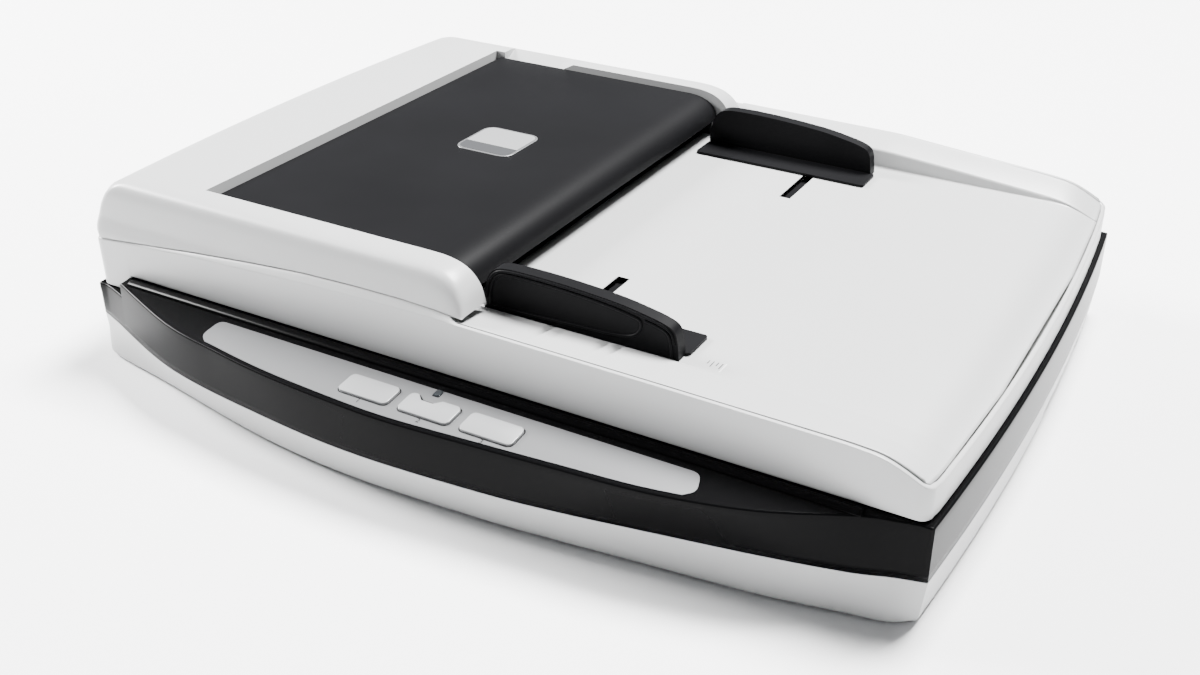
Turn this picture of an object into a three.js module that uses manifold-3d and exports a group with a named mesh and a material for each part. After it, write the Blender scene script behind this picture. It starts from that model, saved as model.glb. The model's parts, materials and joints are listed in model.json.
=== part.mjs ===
// Flatbed scanner with a document feeder in its lid.
// Millimetres, +Z up, +X to the right as seen from the front, +Y to the back.
// Heights are above the table. Depths are behind the lid's front face. Widths that start with
// "from left" are measured from the lid's left face. The origin ends under the middle of the whole part.

import * as THREE from "three";
import { mergeVertices } from "three/addons/utils/BufferGeometryUtils.js";
import Module from "manifold-3d";

const wasm = await Module();
wasm.setup();

const half = 0.5;

// Clearances that the whole part shares
const gap = 0.3;
const running = 0.4;
const overrun = 3;

// Sides of a round shape, from the smallest pins to the largest drums
const fewSides = 12;
const someSides = 16;
const moreSides = 20;
const manySides = 24;

// The lower housing: a white tray and, above the seam, a black frame with the glass in it
const base = {
  halfWidth: 212.4,
  bulge: 6.2,
  bow: 37.3,
  back: 290,
  backChamfer: 7,
  cornerBack: 0.5,
  bottom: 1,
  bottomTaper: 1.9,
  seam: 20.4,
  deck: 45.7,
  fall: 4.2,
  wall: 2.6,
  floor: 2.4,
  leftTop: 37.7,
};

// The front bow: shares of the half width to the right, and of the bow's depth to the front
const seamBowShares = [[-0.948, 0.086], [-0.675, 0.646], [-0.373, 0.906], [-0.121, 1], [0.16, 0.917],
  [0.33, 0.799], [0.512, 0.619], [0.709, 0.416], [0.865, 0.22], [0.939, 0.078]];
const bottomBowShares = [[-0.965, 0.147], [-0.749, 0.359], [-0.424, 0.702], [-0.16, 0.818], [0.137, 0.761],
  [0.313, 0.673], [0.504, 0.552], [0.713, 0.421], [0.874, 0.252], [0.955, 0.161]];
const topBowShares = [[-0.94, 0.07], [-0.683, 0.59], [-0.513, 0.768], [-0.367, 0.88], [-0.198, 0.946],
  [-0.047, 0.968], [0.16, 0.9], [0.33, 0.834], [0.518, 0.745], [0.702, 0.523], [0.871, 0.145],
  [0.939, 0.05]];
const bowSteps = 26;
const sideSteps = 7;

// The hand holds low in both sides of the tray
const handHold = { from: 160, to: 244, height: 9, depth: 6, ramp: 9 };

// The lid's lower shell, with the paper tray in its top
const lid = {
  width: 420,
  depth: 286,
  bottom: 46.7,
  bulge: 6.2,
  corner: 5,
  wall: 2.5,
  rimExtra: 2.6,
  rimFoot: 60,
  lip: 1.5,
  skirtWidth: 20.2,
  skirtBottom: 38.2,
  trayStart: 205,
  trayEnd: 213.5,
  railInner: 265,
  backChamfer: 5.5,
};

// Stations of the tray: from left, front lip, width of the front slope, tray floor, back rail's inner
// and outer top
const trayStations = [
  { fromLeft: 213.5, lip: 72.3, slope: 26.8, floor: 67, railInner: 77.2, railOuter: 80.4 },
  { fromLeft: 306, lip: 71.4, slope: 26.4, floor: 67, railInner: 76, railOuter: 79.7 },
  { fromLeft: 342, lip: 70.9, slope: 22, floor: 66.8, railInner: 73.2, railOuter: 76.8 },
  { fromLeft: 386, lip: 70.2, slope: 16.5, floor: 66.4, railInner: 69.4, railOuter: 73.4 },
  { fromLeft: 400, lip: 69.2, slope: 14.5, floor: 66, railInner: 68, railOuter: 71.8 },
  { fromLeft: 408, lip: 66.2, slope: 13, floor: 64.6, railInner: 65.6, railOuter: 68.6 },
  { fromLeft: 420, lip: 60.2, slope: 12, floor: 59.8, railInner: 60.2, railOuter: 62 },
  { fromLeft: 431, lip: 58.6, slope: 12, floor: 58.4, railInner: 58.6, railOuter: 60 },
];

// Stations under the feeder's housing: from left, front lip, and the arched seam behind a sloping shoulder
const archStations = [
  { fromLeft: -9, lip: 61.6, seam: 62.2 },
  { fromLeft: 0, lip: 62, seam: 62.8 },
  { fromLeft: 40, lip: 65.6, seam: 66.8 },
  { fromLeft: 67, lip: 67.6, seam: 69.4 },
  { fromLeft: 96, lip: 69.2, seam: 71.8 },
  { fromLeft: 130, lip: 71, seam: 74.2 },
  { fromLeft: 158, lip: 72, seam: 75 },
  { fromLeft: 182, lip: 72.5, seam: 75.2 },
  { fromLeft: 200, lip: 72.6, seam: 74.6 },
  { fromLeft: 213, lip: 72.4, seam: 73.6 },
];
const shoulder = { depth: 3.2, fullRise: 3.2 };

// The feeder's housing: the outline of its left end and top, from left and height
const housing = {
  ridge: 19.3,
  top: 91.8,
  bayLeft: 58.2,
  bayFront: 20.9,
  bayBack: 264.9,
  noseEnd: 215,
  noseFoot: 71.6,
  wall: 2.5,
  roof: 2.6,
  exitFront: 32,
  exitBack: 258,
  exitTop: 69.4,
  chassisTop: 83.4,
  pinDepth: 1.6,
};
const leftEnd = [[1.4, 63.4], [0, 68.5], [0.8, 74], [3, 80.5], [6.4, 86], [11.5, 90]];
const noseEnd = [[197, 91.4], [204, 89.8], [209.6, 86], [213.4, 80.4]];
const flankLean = [[0, 62], [0.4, 66], [1.7, 70], [3, 74], [4, 80], [5.4, 86], [7.4, 89.8], [10.4, 91.4],
  [15, 92.2]];
const fingerRecess = { left: 64, right: 112, back: 276.5, bottom: 85.5, ramp: 12 };

// The black cover over the feeder, hinged along its left edge
const cover = {
  left: 61.3,
  front: 21.5,
  back: 264.3,
  top: 88.6,
  thickness: 2.2,
  bendStart: 188,
  lipBottom: 76.2,
  hingeInset: 2.9,
  hingeDrop: 4.4,
  knuckleRadius: 2.6,
  knuckleWidth: 14,
  knuckleSetIn: 16,
  pinRadius: 1.2,
};
const coverBendShares = [[0, 1], [0.35, 0.975], [0.62, 0.86], [0.82, 0.66], [0.94, 0.4], [1, 0]];
const coverBend = { run: 18.6 };
const badge = { centre: 137.5, middle: 147, width: 33, depth: 33, corner: 6, thickness: 0.9, sink: 0.5 };

// The pad, its plate and the hinge posts
const pad = { left: 100, right: 411, front: 6.5, back: 264, bottom: 46.1, thickness: 4.2, corner: 6 };
const padPlate = { left: 98, thickness: 1.8, standoff: 0.3 };
const post = {
  fromLeft: [88, 332],
  width: 26,
  front: 272.8,
  back: 284.6,
  bottom: 5.2,
  shoulder: 46,
  axisHeight: 56.4,
  axisBack: 278.7,
  knuckleRadius: 5.4,
  knuckleWidth: 16,
  pinRadius: 2,
  pinLength: 34,
  wellWall: 2,
};

// The glass and what moves below it
const glass = { left: 98, right: 402, front: 27, back: 253, thickness: 3, ledge: 3, adfLeft: 70,
  adfRight: 91 };
const carriage = { width: 24, front: 24, back: 256, bottom: 14, top: 39.5, home: 80.5, trough: 9,
  troughDepth: 9, wall: 2, lampWidth: 3.4, lampHeight: 3 };
const rod = { radius: 3, back: 262.5, height: 22, left: 12, right: 408, saddle: 12 };
const belt = { height: 9.4, width: 4, thickness: 1, pulleyRadius: 6, bore: 1.5, middle: 232, motorAt: 26,
  idlerAt: 396,
  flange: 1.2 };
const motor = { radius: 14, height: 12, shaft: 1.5 };
const board = { left: 250, right: 350, front: 66, back: 236, thickness: 1.6, standoff: 3.4, postRadius: 3 };
const socket = { powerAt: 392, usbAt: 366, switchAt: 56, height: 11, width: 12, tall: 10, deep: 13,
  hole: 3.8, pin: 1,
  usbHole: 8.4, usbTall: 7.4, tongueWide: 5.4, tongueTall: 2.6, switchWidth: 14 };
const button = { deep: 7, out: 1.8 };
const foot = { radius: 8, rise: 2.2, inset: 28, front: 14, back: 262, recess: 1.2 };

// The control panel, its keys and the light
const panel = { left: 88, right: 333, front: 2.4, back: 9.6, thickness: 1.3, stand: 0.35, slant: 3.4,
  tip: 22.6, corner: 3 };
const panelEdgeShares = [-0.47, -0.4, -0.3, -0.2, -0.1, 0, 0.1, 0.2, 0.3, 0.4, 0.5];
const key = { fromLeft: [183.5, 214.5, 245.5], width: 25.5, depth: 11.8, middle: 22.3, corner: 2.4,
  rise: 1.5, tall: 6.6,
  flange: 0.7, flangeTall: 1.2, notch: 3, slot: 0.6 };
const light = { fromLeft: 211.4, width: 3.2, depth: 4.2, tall: 3 };

// The glossy rib along the frame in front of the lid
const ribShare = 0.75;
const rib = { left: 24, right: 396, front: 5.6, back: 1, height: 1, shoulder: 1.3 };

// The paper guides, their racks and the pinion between them
const guide = {
  innerFront: 33.4,
  innerBack: 249.4,
  thickness: 6.2,
  left: 209.5,
  right: 304,
  foot: 67.4,
  flange: 17,
  flangeEnd: 2,
  flangeThickness: 1.3,
  travel: 48,
  neckWidth: 5,
  neckDepth: 5.4,
};
const guideTop = [[212.6, 80], [215.2, 85], [222.4, 88.7], [249, 88.6], [274, 87], [289, 84.8], [298, 82.6],
  [302.4, 79.4]];
const rack = { module: 1.5, teeth: 12, width: 6, thickness: 3, addendum: 0.72, dedendum: 1.1,
  toothShare: 0.35,
  tipShare: 0.2, fromLeft: 262, reach: 30, ahead: 3, boss: 3, bore: 3.4 };

// The feeder's chassis, the paper's chute through it and its rollers
const chassis = { left: 14, right: 203.5, front: 30, back: 262, side: 2, sheet: 1.8, windowLeft: 71,
  windowRight: 90,
  cornerHeight: 55 };
const chute = [[14, 63.4], [34, 58.8], [50, 55.6], [66, 51], [71, 50.2], [90, 50.2], [96, 54.4],
  [116, 57.6], [150, 61.2],
  [203.5, 64.6]];
const shafts = {
  feed: { fromLeft: 156, height: 73.6, radius: 9, sleeves: [146], width: 30 },
  move: { fromLeft: 108, height: 64, radius: 7, sleeves: [92, 200], width: 26 },
  exit: { fromLeft: 42, height: 64.8, radius: 7, sleeves: [92, 200], width: 26 },
};
const shaft = { radius: 2.4, pulley: 6.2, pulleyWidth: 5, beltWidth: 4, belt: 1, end: 0.6 };
const pressPlate = { left: 73, right: 88, bottom: 47.2, thickness: 2.4 };
const arm = { middle: 146, between: 33, cheek: 3, pickAt: 184, pickHeight: 71.2, pickRadius: 7,
  pickAxle: 2, hub: 5,
  bridgeLeft: 167.5, bridgeRight: 190, bridge: 2 };
const separation = { width: 30, left: 149, right: 163, thickness: 1.3 };
const feederMotor = { fromLeft: 131.5, height: 74, radius: 9.5, length: 24 };

const materials = {
  whiteShell: new THREE.MeshStandardMaterial({ color: 0xdcdcda, roughness: 0.42, metalness: 0 }),
  whiteShellUpper: new THREE.MeshStandardMaterial({ color: 0xe2e2e0, roughness: 0.4, metalness: 0 }),
  blackBand: new THREE.MeshStandardMaterial({ color: 0x101011, roughness: 0.24, metalness: 0 }),
  blackCover: new THREE.MeshStandardMaterial({ color: 0x1b1b1d, roughness: 0.42, metalness: 0 }),
  silverPanel: new THREE.MeshStandardMaterial({ color: 0xb9bbbd, roughness: 0.34, metalness: 0.55 }),
  keyGrey: new THREE.MeshStandardMaterial({ color: 0xcfd0d1, roughness: 0.35, metalness: 0.1 }),
  lens: new THREE.MeshStandardMaterial({ color: 0x101418, roughness: 0.08, metalness: 0 }),
  glassClear: new THREE.MeshStandardMaterial({ color: 0xcfe0dc, roughness: 0.03, metalness: 0,
  transparent: true,
    opacity: 0.35 }),
  padWhite: new THREE.MeshStandardMaterial({ color: 0xf2f2f0, roughness: 0.85, metalness: 0 }),
  innerBlack: new THREE.MeshStandardMaterial({ color: 0x202022, roughness: 0.6, metalness: 0 }),
  steel: new THREE.MeshStandardMaterial({ color: 0xb5b8bb, roughness: 0.25, metalness: 1 }),
  rubber: new THREE.MeshStandardMaterial({ color: 0x26272a, roughness: 0.85, metalness: 0 }),
  greyRubber: new THREE.MeshStandardMaterial({ color: 0x6d7075, roughness: 0.8, metalness: 0 }),
  boardGreen: new THREE.MeshStandardMaterial({ color: 0x1f5a38, roughness: 0.5, metalness: 0 }),
  gearWhite: new THREE.MeshStandardMaterial({ color: 0xe6e3da, roughness: 0.5, metalness: 0 }),
};

// Geometry helpers

// A distance from the lid's left face as a place along X
function fromLeft(distance) {
  return distance - lid.width * half;
}

// A closed solid from rings of equal length, capped flat at its first and last ring
function loft(rings) {
  const count = rings[0].length;
  const positions = rings.flat().flat();
  const triangles = [];
  for (let level = 0; level + 1 < rings.length; level += 1) {
    for (let at = 0; at < count; at += 1) {
      const next = (at + 1) % count;
      const low = level * count;
      const high = low + count;
      triangles.push(low + at, low + next, high + next, low + at, high + next, high + at);
    }
  }
  triangles.push(...capOf(rings[0], 0, true));
  triangles.push(...capOf(rings[rings.length - 1], (rings.length - 1) * count, false));
  return solidOf(indexed(positions, triangles));
}

// Triangles that fill one ring, turned with the ring or against it
function capOf(ring, first, against) {
  const flat = flattened(ring);
  const turn = Math.sign(THREE.ShapeUtils.area(flat));
  const triangles = [];
  for (const face of THREE.ShapeUtils.triangulateShape(flat, [])) {
    const sameTurn = Math.sign(THREE.ShapeUtils.area(face.map((index) => flat[index]))) === turn;
    const order = sameTurn !== against ? face : [face[0], face[2], face[1]];
    triangles.push(...order.map((index) => first + index));
  }
  return triangles;
}

// The ring seen along the axis that it faces most
function flattened(ring) {
  const normal = new THREE.Vector3();
  ring.forEach((point, at) => {
    const next = ring[(at + 1) % ring.length];
    normal.x += (point[1] - next[1]) * (point[2] + next[2]);
    normal.y += (point[2] - next[2]) * (point[0] + next[0]);
    normal.z += (point[0] - next[0]) * (point[1] + next[1]);
  });
  const size = [Math.abs(normal.x), Math.abs(normal.y), Math.abs(normal.z)];
  const drop = size.indexOf(Math.max(...size));
  const keep = [0, 1, 2].filter((axis) => axis !== drop);
  return ring.map((point) => new THREE.Vector2(point[keep[0]], point[keep[1]]));
}

function indexed(positions, triangles) {
  const geometry = new THREE.BufferGeometry();
  geometry.setAttribute("position", new THREE.Float32BufferAttribute(positions, 3));
  geometry.setIndex(triangles);
  return geometry;
}

// A closed three.js geometry as a solid with its faces pointing out
function solidOf(source) {
  const bare = source.clone();
  bare.deleteAttribute("normal");
  bare.deleteAttribute("uv");
  const geometry = mergeVertices(bare);
  const corners = Float32Array.from(geometry.attributes.position.array);
  const faces = Uint32Array.from(geometry.index.array);
  if (signedVolume(corners, faces) < 0) {
    for (let at = 0; at < faces.length; at += 3) {
      [faces[at + 1], faces[at + 2]] = [faces[at + 2], faces[at + 1]];
    }
  }
  return new wasm.Manifold(new wasm.Mesh({ numProp: 3, vertProperties: corners, triVerts: faces }));
}

function signedVolume(corners, faces) {
  const [a, b, c] = [new THREE.Vector3(), new THREE.Vector3(), new THREE.Vector3()];
  let total = 0;
  for (let at = 0; at < faces.length; at += 3) {
    a.fromArray(corners, faces[at] * 3);
    b.fromArray(corners, faces[at + 1] * 3);
    c.fromArray(corners, faces[at + 2] * 3);
    total += a.dot(b.cross(c));
  }
  return total;
}

function geometryOf(solid) {
  const mesh = solid.getMesh();
  return indexed(Array.from(mesh.vertProperties), Array.from(mesh.triVerts));
}

function joined(first, ...others) {
  return others.reduce((sum, other) => sum.add(other), first);
}

function cutBy(first, ...others) {
  return others.reduce((rest, other) => rest.subtract(other), first);
}

function prismX(outline, from, to) {
  return loft([from, to].map((x) => outline.map(([y, z]) => [x, y, z])));
}

function prismY(outline, from, to) {
  return loft([from, to].map((y) => outline.map(([x, z]) => [x, y, z])));
}

function prismZ(outline, from, to) {
  return loft([from, to].map((z) => outline.map(([x, y]) => [x, y, z])));
}

function block(x, y, z) {
  return prismZ([[x[0], y[0]], [x[1], y[0]], [x[1], y[1]], [x[0], y[1]]], z[0], z[1]);
}

function circle(radius, centre, sides) {
  const points = [];
  for (let at = 0; at < sides; at += 1) {
    const angle = (at / sides) * Math.PI * 2;
    points.push([centre[0] + radius * Math.cos(angle), centre[1] + radius * Math.sin(angle)]);
  }
  return points;
}

const cornerSteps = 4;

// A rectangle with round corners
function roundRect(x, y, radius) {
  const points = [];
  const corners = [[x[1], y[0], -1, 1, -half], [x[1], y[1], -1, -1, 0], [x[0], y[1], 1, -1, half],
    [x[0], y[0], 1, 1, 1]];
  for (const [cornerX, cornerY, inX, inY, start] of corners) {
    for (let step = 0; step <= cornerSteps; step += 1) {
      const angle = (start + (step / cornerSteps) * half) * Math.PI;
      points.push([cornerX + radius * (inX + Math.cos(angle)), cornerY + radius * (inY + Math.sin(angle))]);
    }
  }
  return points;
}

// A height on a bent line of points
function heightOn(line, at) {
  const last = line.length - 1;
  const place = Math.min(Math.max(at, line[0][0]), line[last][0]);
  const next = Math.max(1, line.findIndex((point) => point[0] >= place));
  const [x0, z0] = line[next - 1];
  const [x1, z1] = line[next];
  return z0 + ((z1 - z0) * (place - x0)) / (x1 - x0);
}

// The outward bulge of both sides at a depth from the front
function bulgeAt(y, bulge, depth) {
  const middle = depth * half;
  const share = Math.min(1, Math.abs(y - middle) / middle);
  return bulge * (1 - share * share);
}

// An outline moved inwards by a distance, point by point
function movedIn(points, distance) {
  if (distance === 0) {
    return points;
  }
  const count = points.length;
  return points.map((point, at) => {
    const before = points[(at + count - 1) % count];
    const after = points[(at + 1) % count];
    const first = new THREE.Vector2(point[0] - before[0], point[1] - before[1]).normalize();
    const second = new THREE.Vector2(after[0] - point[0], after[1] - point[1]).normalize();
    const inward = new THREE.Vector2(-first.y - second.y, first.x + second.x).normalize();
    const spread = Math.max(half, -first.y * inward.x + first.x * inward.y);
    return [point[0] + (inward.x * distance) / spread, point[1] + (inward.y * distance) / spread];
  });
}

// The lower housing

// The base seen from above, anticlockwise from the left end of the bow
function baseOutline(shares, halfWidth, inset) {
  const bow = shares.map(([across, out]) => new THREE.Vector2(across * base.halfWidth, -out * base.bow));
  const points = new THREE.SplineCurve(bow).getPoints(bowSteps).map((point) => [point.x, point.y]);
  const sideEnd = base.back - base.backChamfer;
  for (let step = 0; step <= sideSteps; step += 1) {
    const y = base.cornerBack + ((sideEnd - base.cornerBack) * step) / sideSteps;
    points.push([halfWidth + bulgeAt(y, base.bulge, base.back), y]);
  }
  points.push([halfWidth - base.backChamfer, base.back]);
  points.push([base.backChamfer - halfWidth, base.back]);
  for (let step = sideSteps; step >= 0; step -= 1) {
    const y = base.cornerBack + ((sideEnd - base.cornerBack) * step) / sideSteps;
    points.push([-halfWidth - bulgeAt(y, base.bulge, base.back), y]);
  }
  return movedIn(points, inset);
}

function ringAt(outline, z) {
  return outline.map(([x, y]) => [x, y, z]);
}

// The tray's form with its walls moved in and its bottom at a height
function trayForm(inset, bottom, top) {
  const low = baseOutline(bottomBowShares, base.halfWidth - base.bottomTaper, inset);
  const high = baseOutline(seamBowShares, base.halfWidth, inset);
  return loft([ringAt(low, bottom), ringAt(high, top)]);
}

// The height of the frame's sloping front at a depth
function slopeAt(y) {
  return base.deck + (Math.min(0, y) * base.fall) / base.bow;
}

// Everything above the frame's top face, lowered by a distance
function aboveFrame(drop) {
  const front = -base.bow * 2;
  const far = base.back * 2;
  const high = base.deck * 2;
  const outline = [[front, slopeAt(front) - drop], [0, base.deck - drop], [far, base.deck - drop],
    [far, high],
    [front, high]];
  return prismX(outline, -lid.width, lid.width);
}

// The frame's form: leaning walls under the deck, with the low left end
function frameForm(inset, drop, bottom) {
  const low = baseOutline(seamBowShares, base.halfWidth, inset);
  const high = baseOutline(topBowShares, base.halfWidth, inset);
  const walls = loft([ringAt(low, bottom), ringAt(high, base.deck), ringAt(high, base.deck + overrun)]);
  const step = fromLeft(lid.skirtWidth + running) + inset;
  const lowEnd = block([-lid.width, step], [-lid.width, lid.width], [base.leftTop - drop, base.deck * 2]);
  return cutBy(walls, aboveFrame(drop), lowEnd);
}

const seamTop = base.seam + gap * half;
const seamBottom = base.seam - gap * half;
const trayFloor = base.bottom + base.floor;

function handHoldCut(side) {
  const outside = side * (base.halfWidth + base.bulge + overrun);
  const inside = side * (base.halfWidth + base.bulge - handHold.depth);
  const edge = side * (base.halfWidth + base.bulge);
  const outline = [[inside, handHold.from + handHold.ramp], [edge, handHold.from], [outside, handHold.from],
    [outside, handHold.to], [edge, handHold.to], [inside, handHold.to - handHold.ramp]];
  return prismZ(outline, base.bottom - overrun, base.bottom + handHold.height);
}

function footPlaces() {
  const across = base.halfWidth - foot.inset;
  return [[-across, foot.front], [across, foot.front], [-across, foot.back], [across, foot.back]];
}

// The square pocket that guides one hinge post, standing on the tray's floor
function wellAt(centre) {
  const wide = post.width * half + gap;
  const x = [centre - wide, centre + wide];
  const y = [post.front - gap, post.back + gap];
  const outer = block([x[0] - post.wellWall, x[1] + post.wellWall],
    [y[0] - post.wellWall, base.back - base.wall * half],
    [trayFloor - base.floor * half, seamBottom]);
  return cutBy(outer, block(x, y, [trayFloor, base.deck]));
}

function socketOpening(centre, width, tall) {
  return block([centre - width * half, centre + width * half],
    [base.back - base.wall - overrun, base.back + overrun],
    [socket.height - tall * half, socket.height + tall * half]);
}

function rodSaddle(centre) {
  const x = [centre - rod.saddle * half, centre + rod.saddle * half];
  const y = [rod.back - rod.saddle * half, rod.back + rod.saddle * half];
  const body = block(x, y, [trayFloor - base.floor * half, rod.height + rod.radius * half]);
  const seat = circle(rod.radius + gap, [rod.back, rod.height], someSides);
  const mouth = [rod.height, base.deck];
  const open = block([x[0] - overrun, x[1] + overrun], [rod.back - rod.radius - gap,
    rod.back + rod.radius + gap], mouth);
  return cutBy(body, prismX(seat, x[0] - overrun, x[1] + overrun), open);
}

function boardPosts() {
  const set = board.postRadius * 2;
  const places = [[board.left + set, board.front + set], [board.right - set, board.front + set],
    [board.left + set, board.back - set], [board.right - set, board.back - set]];
  return places.map(([x, y]) => prismZ(circle(board.postRadius, [fromLeft(x), y], fewSides),
    trayFloor - base.floor * half,
    trayFloor + board.standoff));
}

function pulleyStud(place) {
  const stud = prismZ(circle(belt.bore - gap, [fromLeft(place), belt.middle], fewSides), trayFloor,
    belt.height + belt.width);
  const collar = prismZ(circle(belt.bore * 2, [fromLeft(place), belt.middle], fewSides),
    trayFloor - base.floor * half,
    belt.height - belt.flange - gap);
  return joined(stud, collar);
}

function baseTray() {
  const shell = cutBy(trayForm(0, base.bottom, seamBottom),
    trayForm(base.wall, trayFloor, base.seam + overrun));
  const inside = joined(shell, wellAt(fromLeft(post.fromLeft[0])), wellAt(fromLeft(post.fromLeft[1])),
    rodSaddle(fromLeft(rod.left + rod.saddle * half)), rodSaddle(fromLeft(rod.right - rod.saddle * half)),
    ...boardPosts(),
    pulleyStud(belt.idlerAt));
  const feet = footPlaces().map((place) => prismZ(circle(foot.radius + gap, place, manySides),
    base.bottom - overrun,
    base.bottom + foot.recess));
  const openings = [socketOpening(fromLeft(socket.powerAt), socket.width + gap * 2, socket.tall + gap * 2),
    socketOpening(fromLeft(socket.usbAt), socket.width + gap * 2, socket.tall + gap * 2),
    socketOpening(fromLeft(socket.switchAt), socket.switchWidth + gap * 2, socket.tall + gap * 2)];
  return cutBy(inside, ...feet, ...openings, handHoldCut(-1), handHoldCut(1));
}

// A place in the frame for a sheet of glass: a through window and a ledge for the glass
function glassSeat(x, y) {
  const window = block([x[0] + glass.ledge, x[1] - glass.ledge], [y[0] + glass.ledge, y[1] - glass.ledge],
    [base.seam, base.deck * 2]);
  const seat = block([x[0] - gap, x[1] + gap], [y[0] - gap, y[1] + gap],
    [base.deck - glass.thickness - gap, base.deck * 2]);
  return joined(window, seat);
}

// The leaning direction square to the sloping front, and a solid stood on it
const slopeAngle = Math.atan2(base.fall, base.bow);

function onSlope(outline, from, to) {
  const lean = Math.sin(slopeAngle);
  const rise = Math.cos(slopeAngle);
  const ring = (height) => outline.map(([x, y]) => [x, y - lean * height, slopeAt(y) + rise * height]);
  return loft([ring(from), ring(to)]);
}

function keyCentre(number) {
  return [fromLeft(key.fromLeft[number]), -key.middle];
}

// A key's outline. The middle key has a bite in its back edge round the light.
function keyOutline(number, grow) {
  const [x, y] = keyCentre(number);
  const wide = key.width * half + grow;
  const deep = key.depth * half + grow;
  const outline = roundRect([x - wide, x + wide], [y - deep, y + deep], key.corner + grow);
  if (number !== 1) {
    return outline;
  }
  const at = fromLeft(light.fromLeft);
  const bite = [[at + key.notch * 2, y + deep], [at + key.notch, y + deep - key.notch + grow],
    [at - key.notch, y + deep - key.notch + grow], [at - key.notch * 2, y + deep]];
  const before = outline.findIndex((point, place) => place > 0 && point[0] < x && point[1] > y);
  return [...outline.slice(0, before), ...bite, ...outline.slice(before)];
}

// The panel's outline: a straight back edge, slanted ends and a front edge that follows the bow
function panelOutline(grow) {
  const bow = new THREE.SplineCurve(topBowShares.map(([across, out]) =>
    new THREE.Vector2(across * base.halfWidth, -out * base.bow))).getPoints(bowSteps * 2);
  const line = bow.map((point) => [point.x, point.y + panel.front]);
  const left = fromLeft(panel.left) - grow;
  const right = fromLeft(panel.right) + grow;
  const back = -panel.back + grow;
  const front = panelEdgeShares.map((share) => [share * base.halfWidth,
    heightOn(line, share * base.halfWidth) - grow]);
  const cut = panel.corner;
  const leftEdge = [[left + cut, back], [left, back - cut], [left + grow * half, cut - panel.tip],
    [left + panel.slant, -panel.tip - grow * half]];
  const rightEdge = [[right, -panel.tip - grow * half], [right + panel.slant, cut - panel.tip],
    [right, back - cut],
    [right - cut, back]];
  return [...leftEdge, ...front, ...rightEdge];
}

function lightOutline(grow) {
  const x = fromLeft(light.fromLeft);
  const wide = light.width * half + grow;
  return roundRect([x - wide, x + wide], [-panel.back - light.depth - grow, -panel.back + grow],
    light.width * half * half);
}

function baseFrame() {
  const shell = joined(cutBy(frameForm(0, 0, seamTop), frameForm(base.wall, base.floor,
    base.seam - overrun)), frameRib());
  const across = [glass.front, glass.back];
  const windows = [glassSeat([fromLeft(glass.left), fromLeft(glass.right)], across),
    glassSeat([fromLeft(glass.adfLeft), fromLeft(glass.adfRight)], across)];
  const posts = post.fromLeft.map((place) => {
    const wide = post.width * half + gap * 2;
    return block([fromLeft(place) - wide, fromLeft(place) + wide],
      [post.front - gap * 2, post.back + gap * 2],
      [base.seam, base.deck * 2]);
  });
  const recess = onSlope(panelOutline(gap), panel.stand - panel.thickness - gap, overrun * 2);
  const keys = key.fromLeft.map((place, number) => onSlope(keyOutline(number, running), -base.deck * half,
    overrun));
  const lamp = onSlope(lightOutline(gap), -overrun - light.tall, overrun);
  return cutBy(shell, ...windows, ...posts, recess, ...keys, lamp);
}

function frameRib() {
  const line = (y, rise) => [y, slopeAt(y) + rise];
  const outline = [line(-rib.front, -rib.height), line(-rib.front, 0),
    line(-rib.front + rib.shoulder, rib.height * ribShare),
    line(-rib.front + rib.shoulder * 2, rib.height), line(-rib.back - rib.shoulder,
      rib.height * ribShare), line(-rib.back, 0),
    line(-rib.back, -rib.height)];
  return prismX(outline, fromLeft(rib.left), fromLeft(rib.right));
}

function controlPanel() {
  const plate = onSlope(panelOutline(0), panel.stand - panel.thickness, panel.stand);
  const keys = key.fromLeft.map((place, number) => onSlope(keyOutline(number, key.slot), -overrun,
    overrun));
  return cutBy(plate, ...keys, onSlope(lightOutline(gap), -overrun, overrun));
}

function keyCap(number) {
  const stem = onSlope(keyOutline(number, 0), -key.tall, key.rise);
  const top = -base.floor - gap;
  return joined(stem, onSlope(keyOutline(number, key.flange), top - key.flangeTall, top));
}

function statusLight() {
  return onSlope(lightOutline(0), panel.stand - light.tall, panel.stand + gap);
}

function glassPlate(x) {
  return block([fromLeft(x[0]), fromLeft(x[1])], [glass.front, glass.back],
    [base.deck - glass.thickness, base.deck]);
}

function rubberFoot(place) {
  return prismZ(circle(foot.radius, place, manySides), 0, foot.rise - gap);
}

// The outer face of the belt's front run, with its clearance
const beltFront = belt.middle - belt.pulleyRadius - belt.thickness - gap * 2;

// The scanning carriage: a long bar with a trough for the lamp, carried on the rod
function scanCarriage() {
  const x = [fromLeft(carriage.home) - carriage.width * half,
    fromLeft(carriage.home) + carriage.width * half];
  const bar = block(x, [carriage.front, carriage.back], [carriage.bottom, carriage.top]);
  const bearing = block(x, [rod.back - rod.saddle * half, rod.back + rod.saddle * half],
    [carriage.bottom, rod.height + rod.saddle * half]);
  const arm = block(x, [carriage.back - overrun, rod.back],
    [carriage.bottom, rod.height + rod.saddle * half]);
  const middle = fromLeft(carriage.home);
  const trough = block([middle - carriage.trough * half, middle + carriage.trough * half],
    [carriage.front + carriage.wall, carriage.back - carriage.wall],
    [carriage.top - carriage.troughDepth, base.deck]);
  const bore = prismX(circle(rod.radius + gap, [rod.back, rod.height], someSides), x[0] - overrun,
    x[1] + overrun);
  const clampTop = block([middle - carriage.wall * 2, middle + carriage.wall * 2],
    [beltFront - carriage.wall, beltFront], [belt.height, carriage.bottom + overrun]);
  return cutBy(joined(bar, bearing, arm, clampTop), trough, bore);
}

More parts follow.
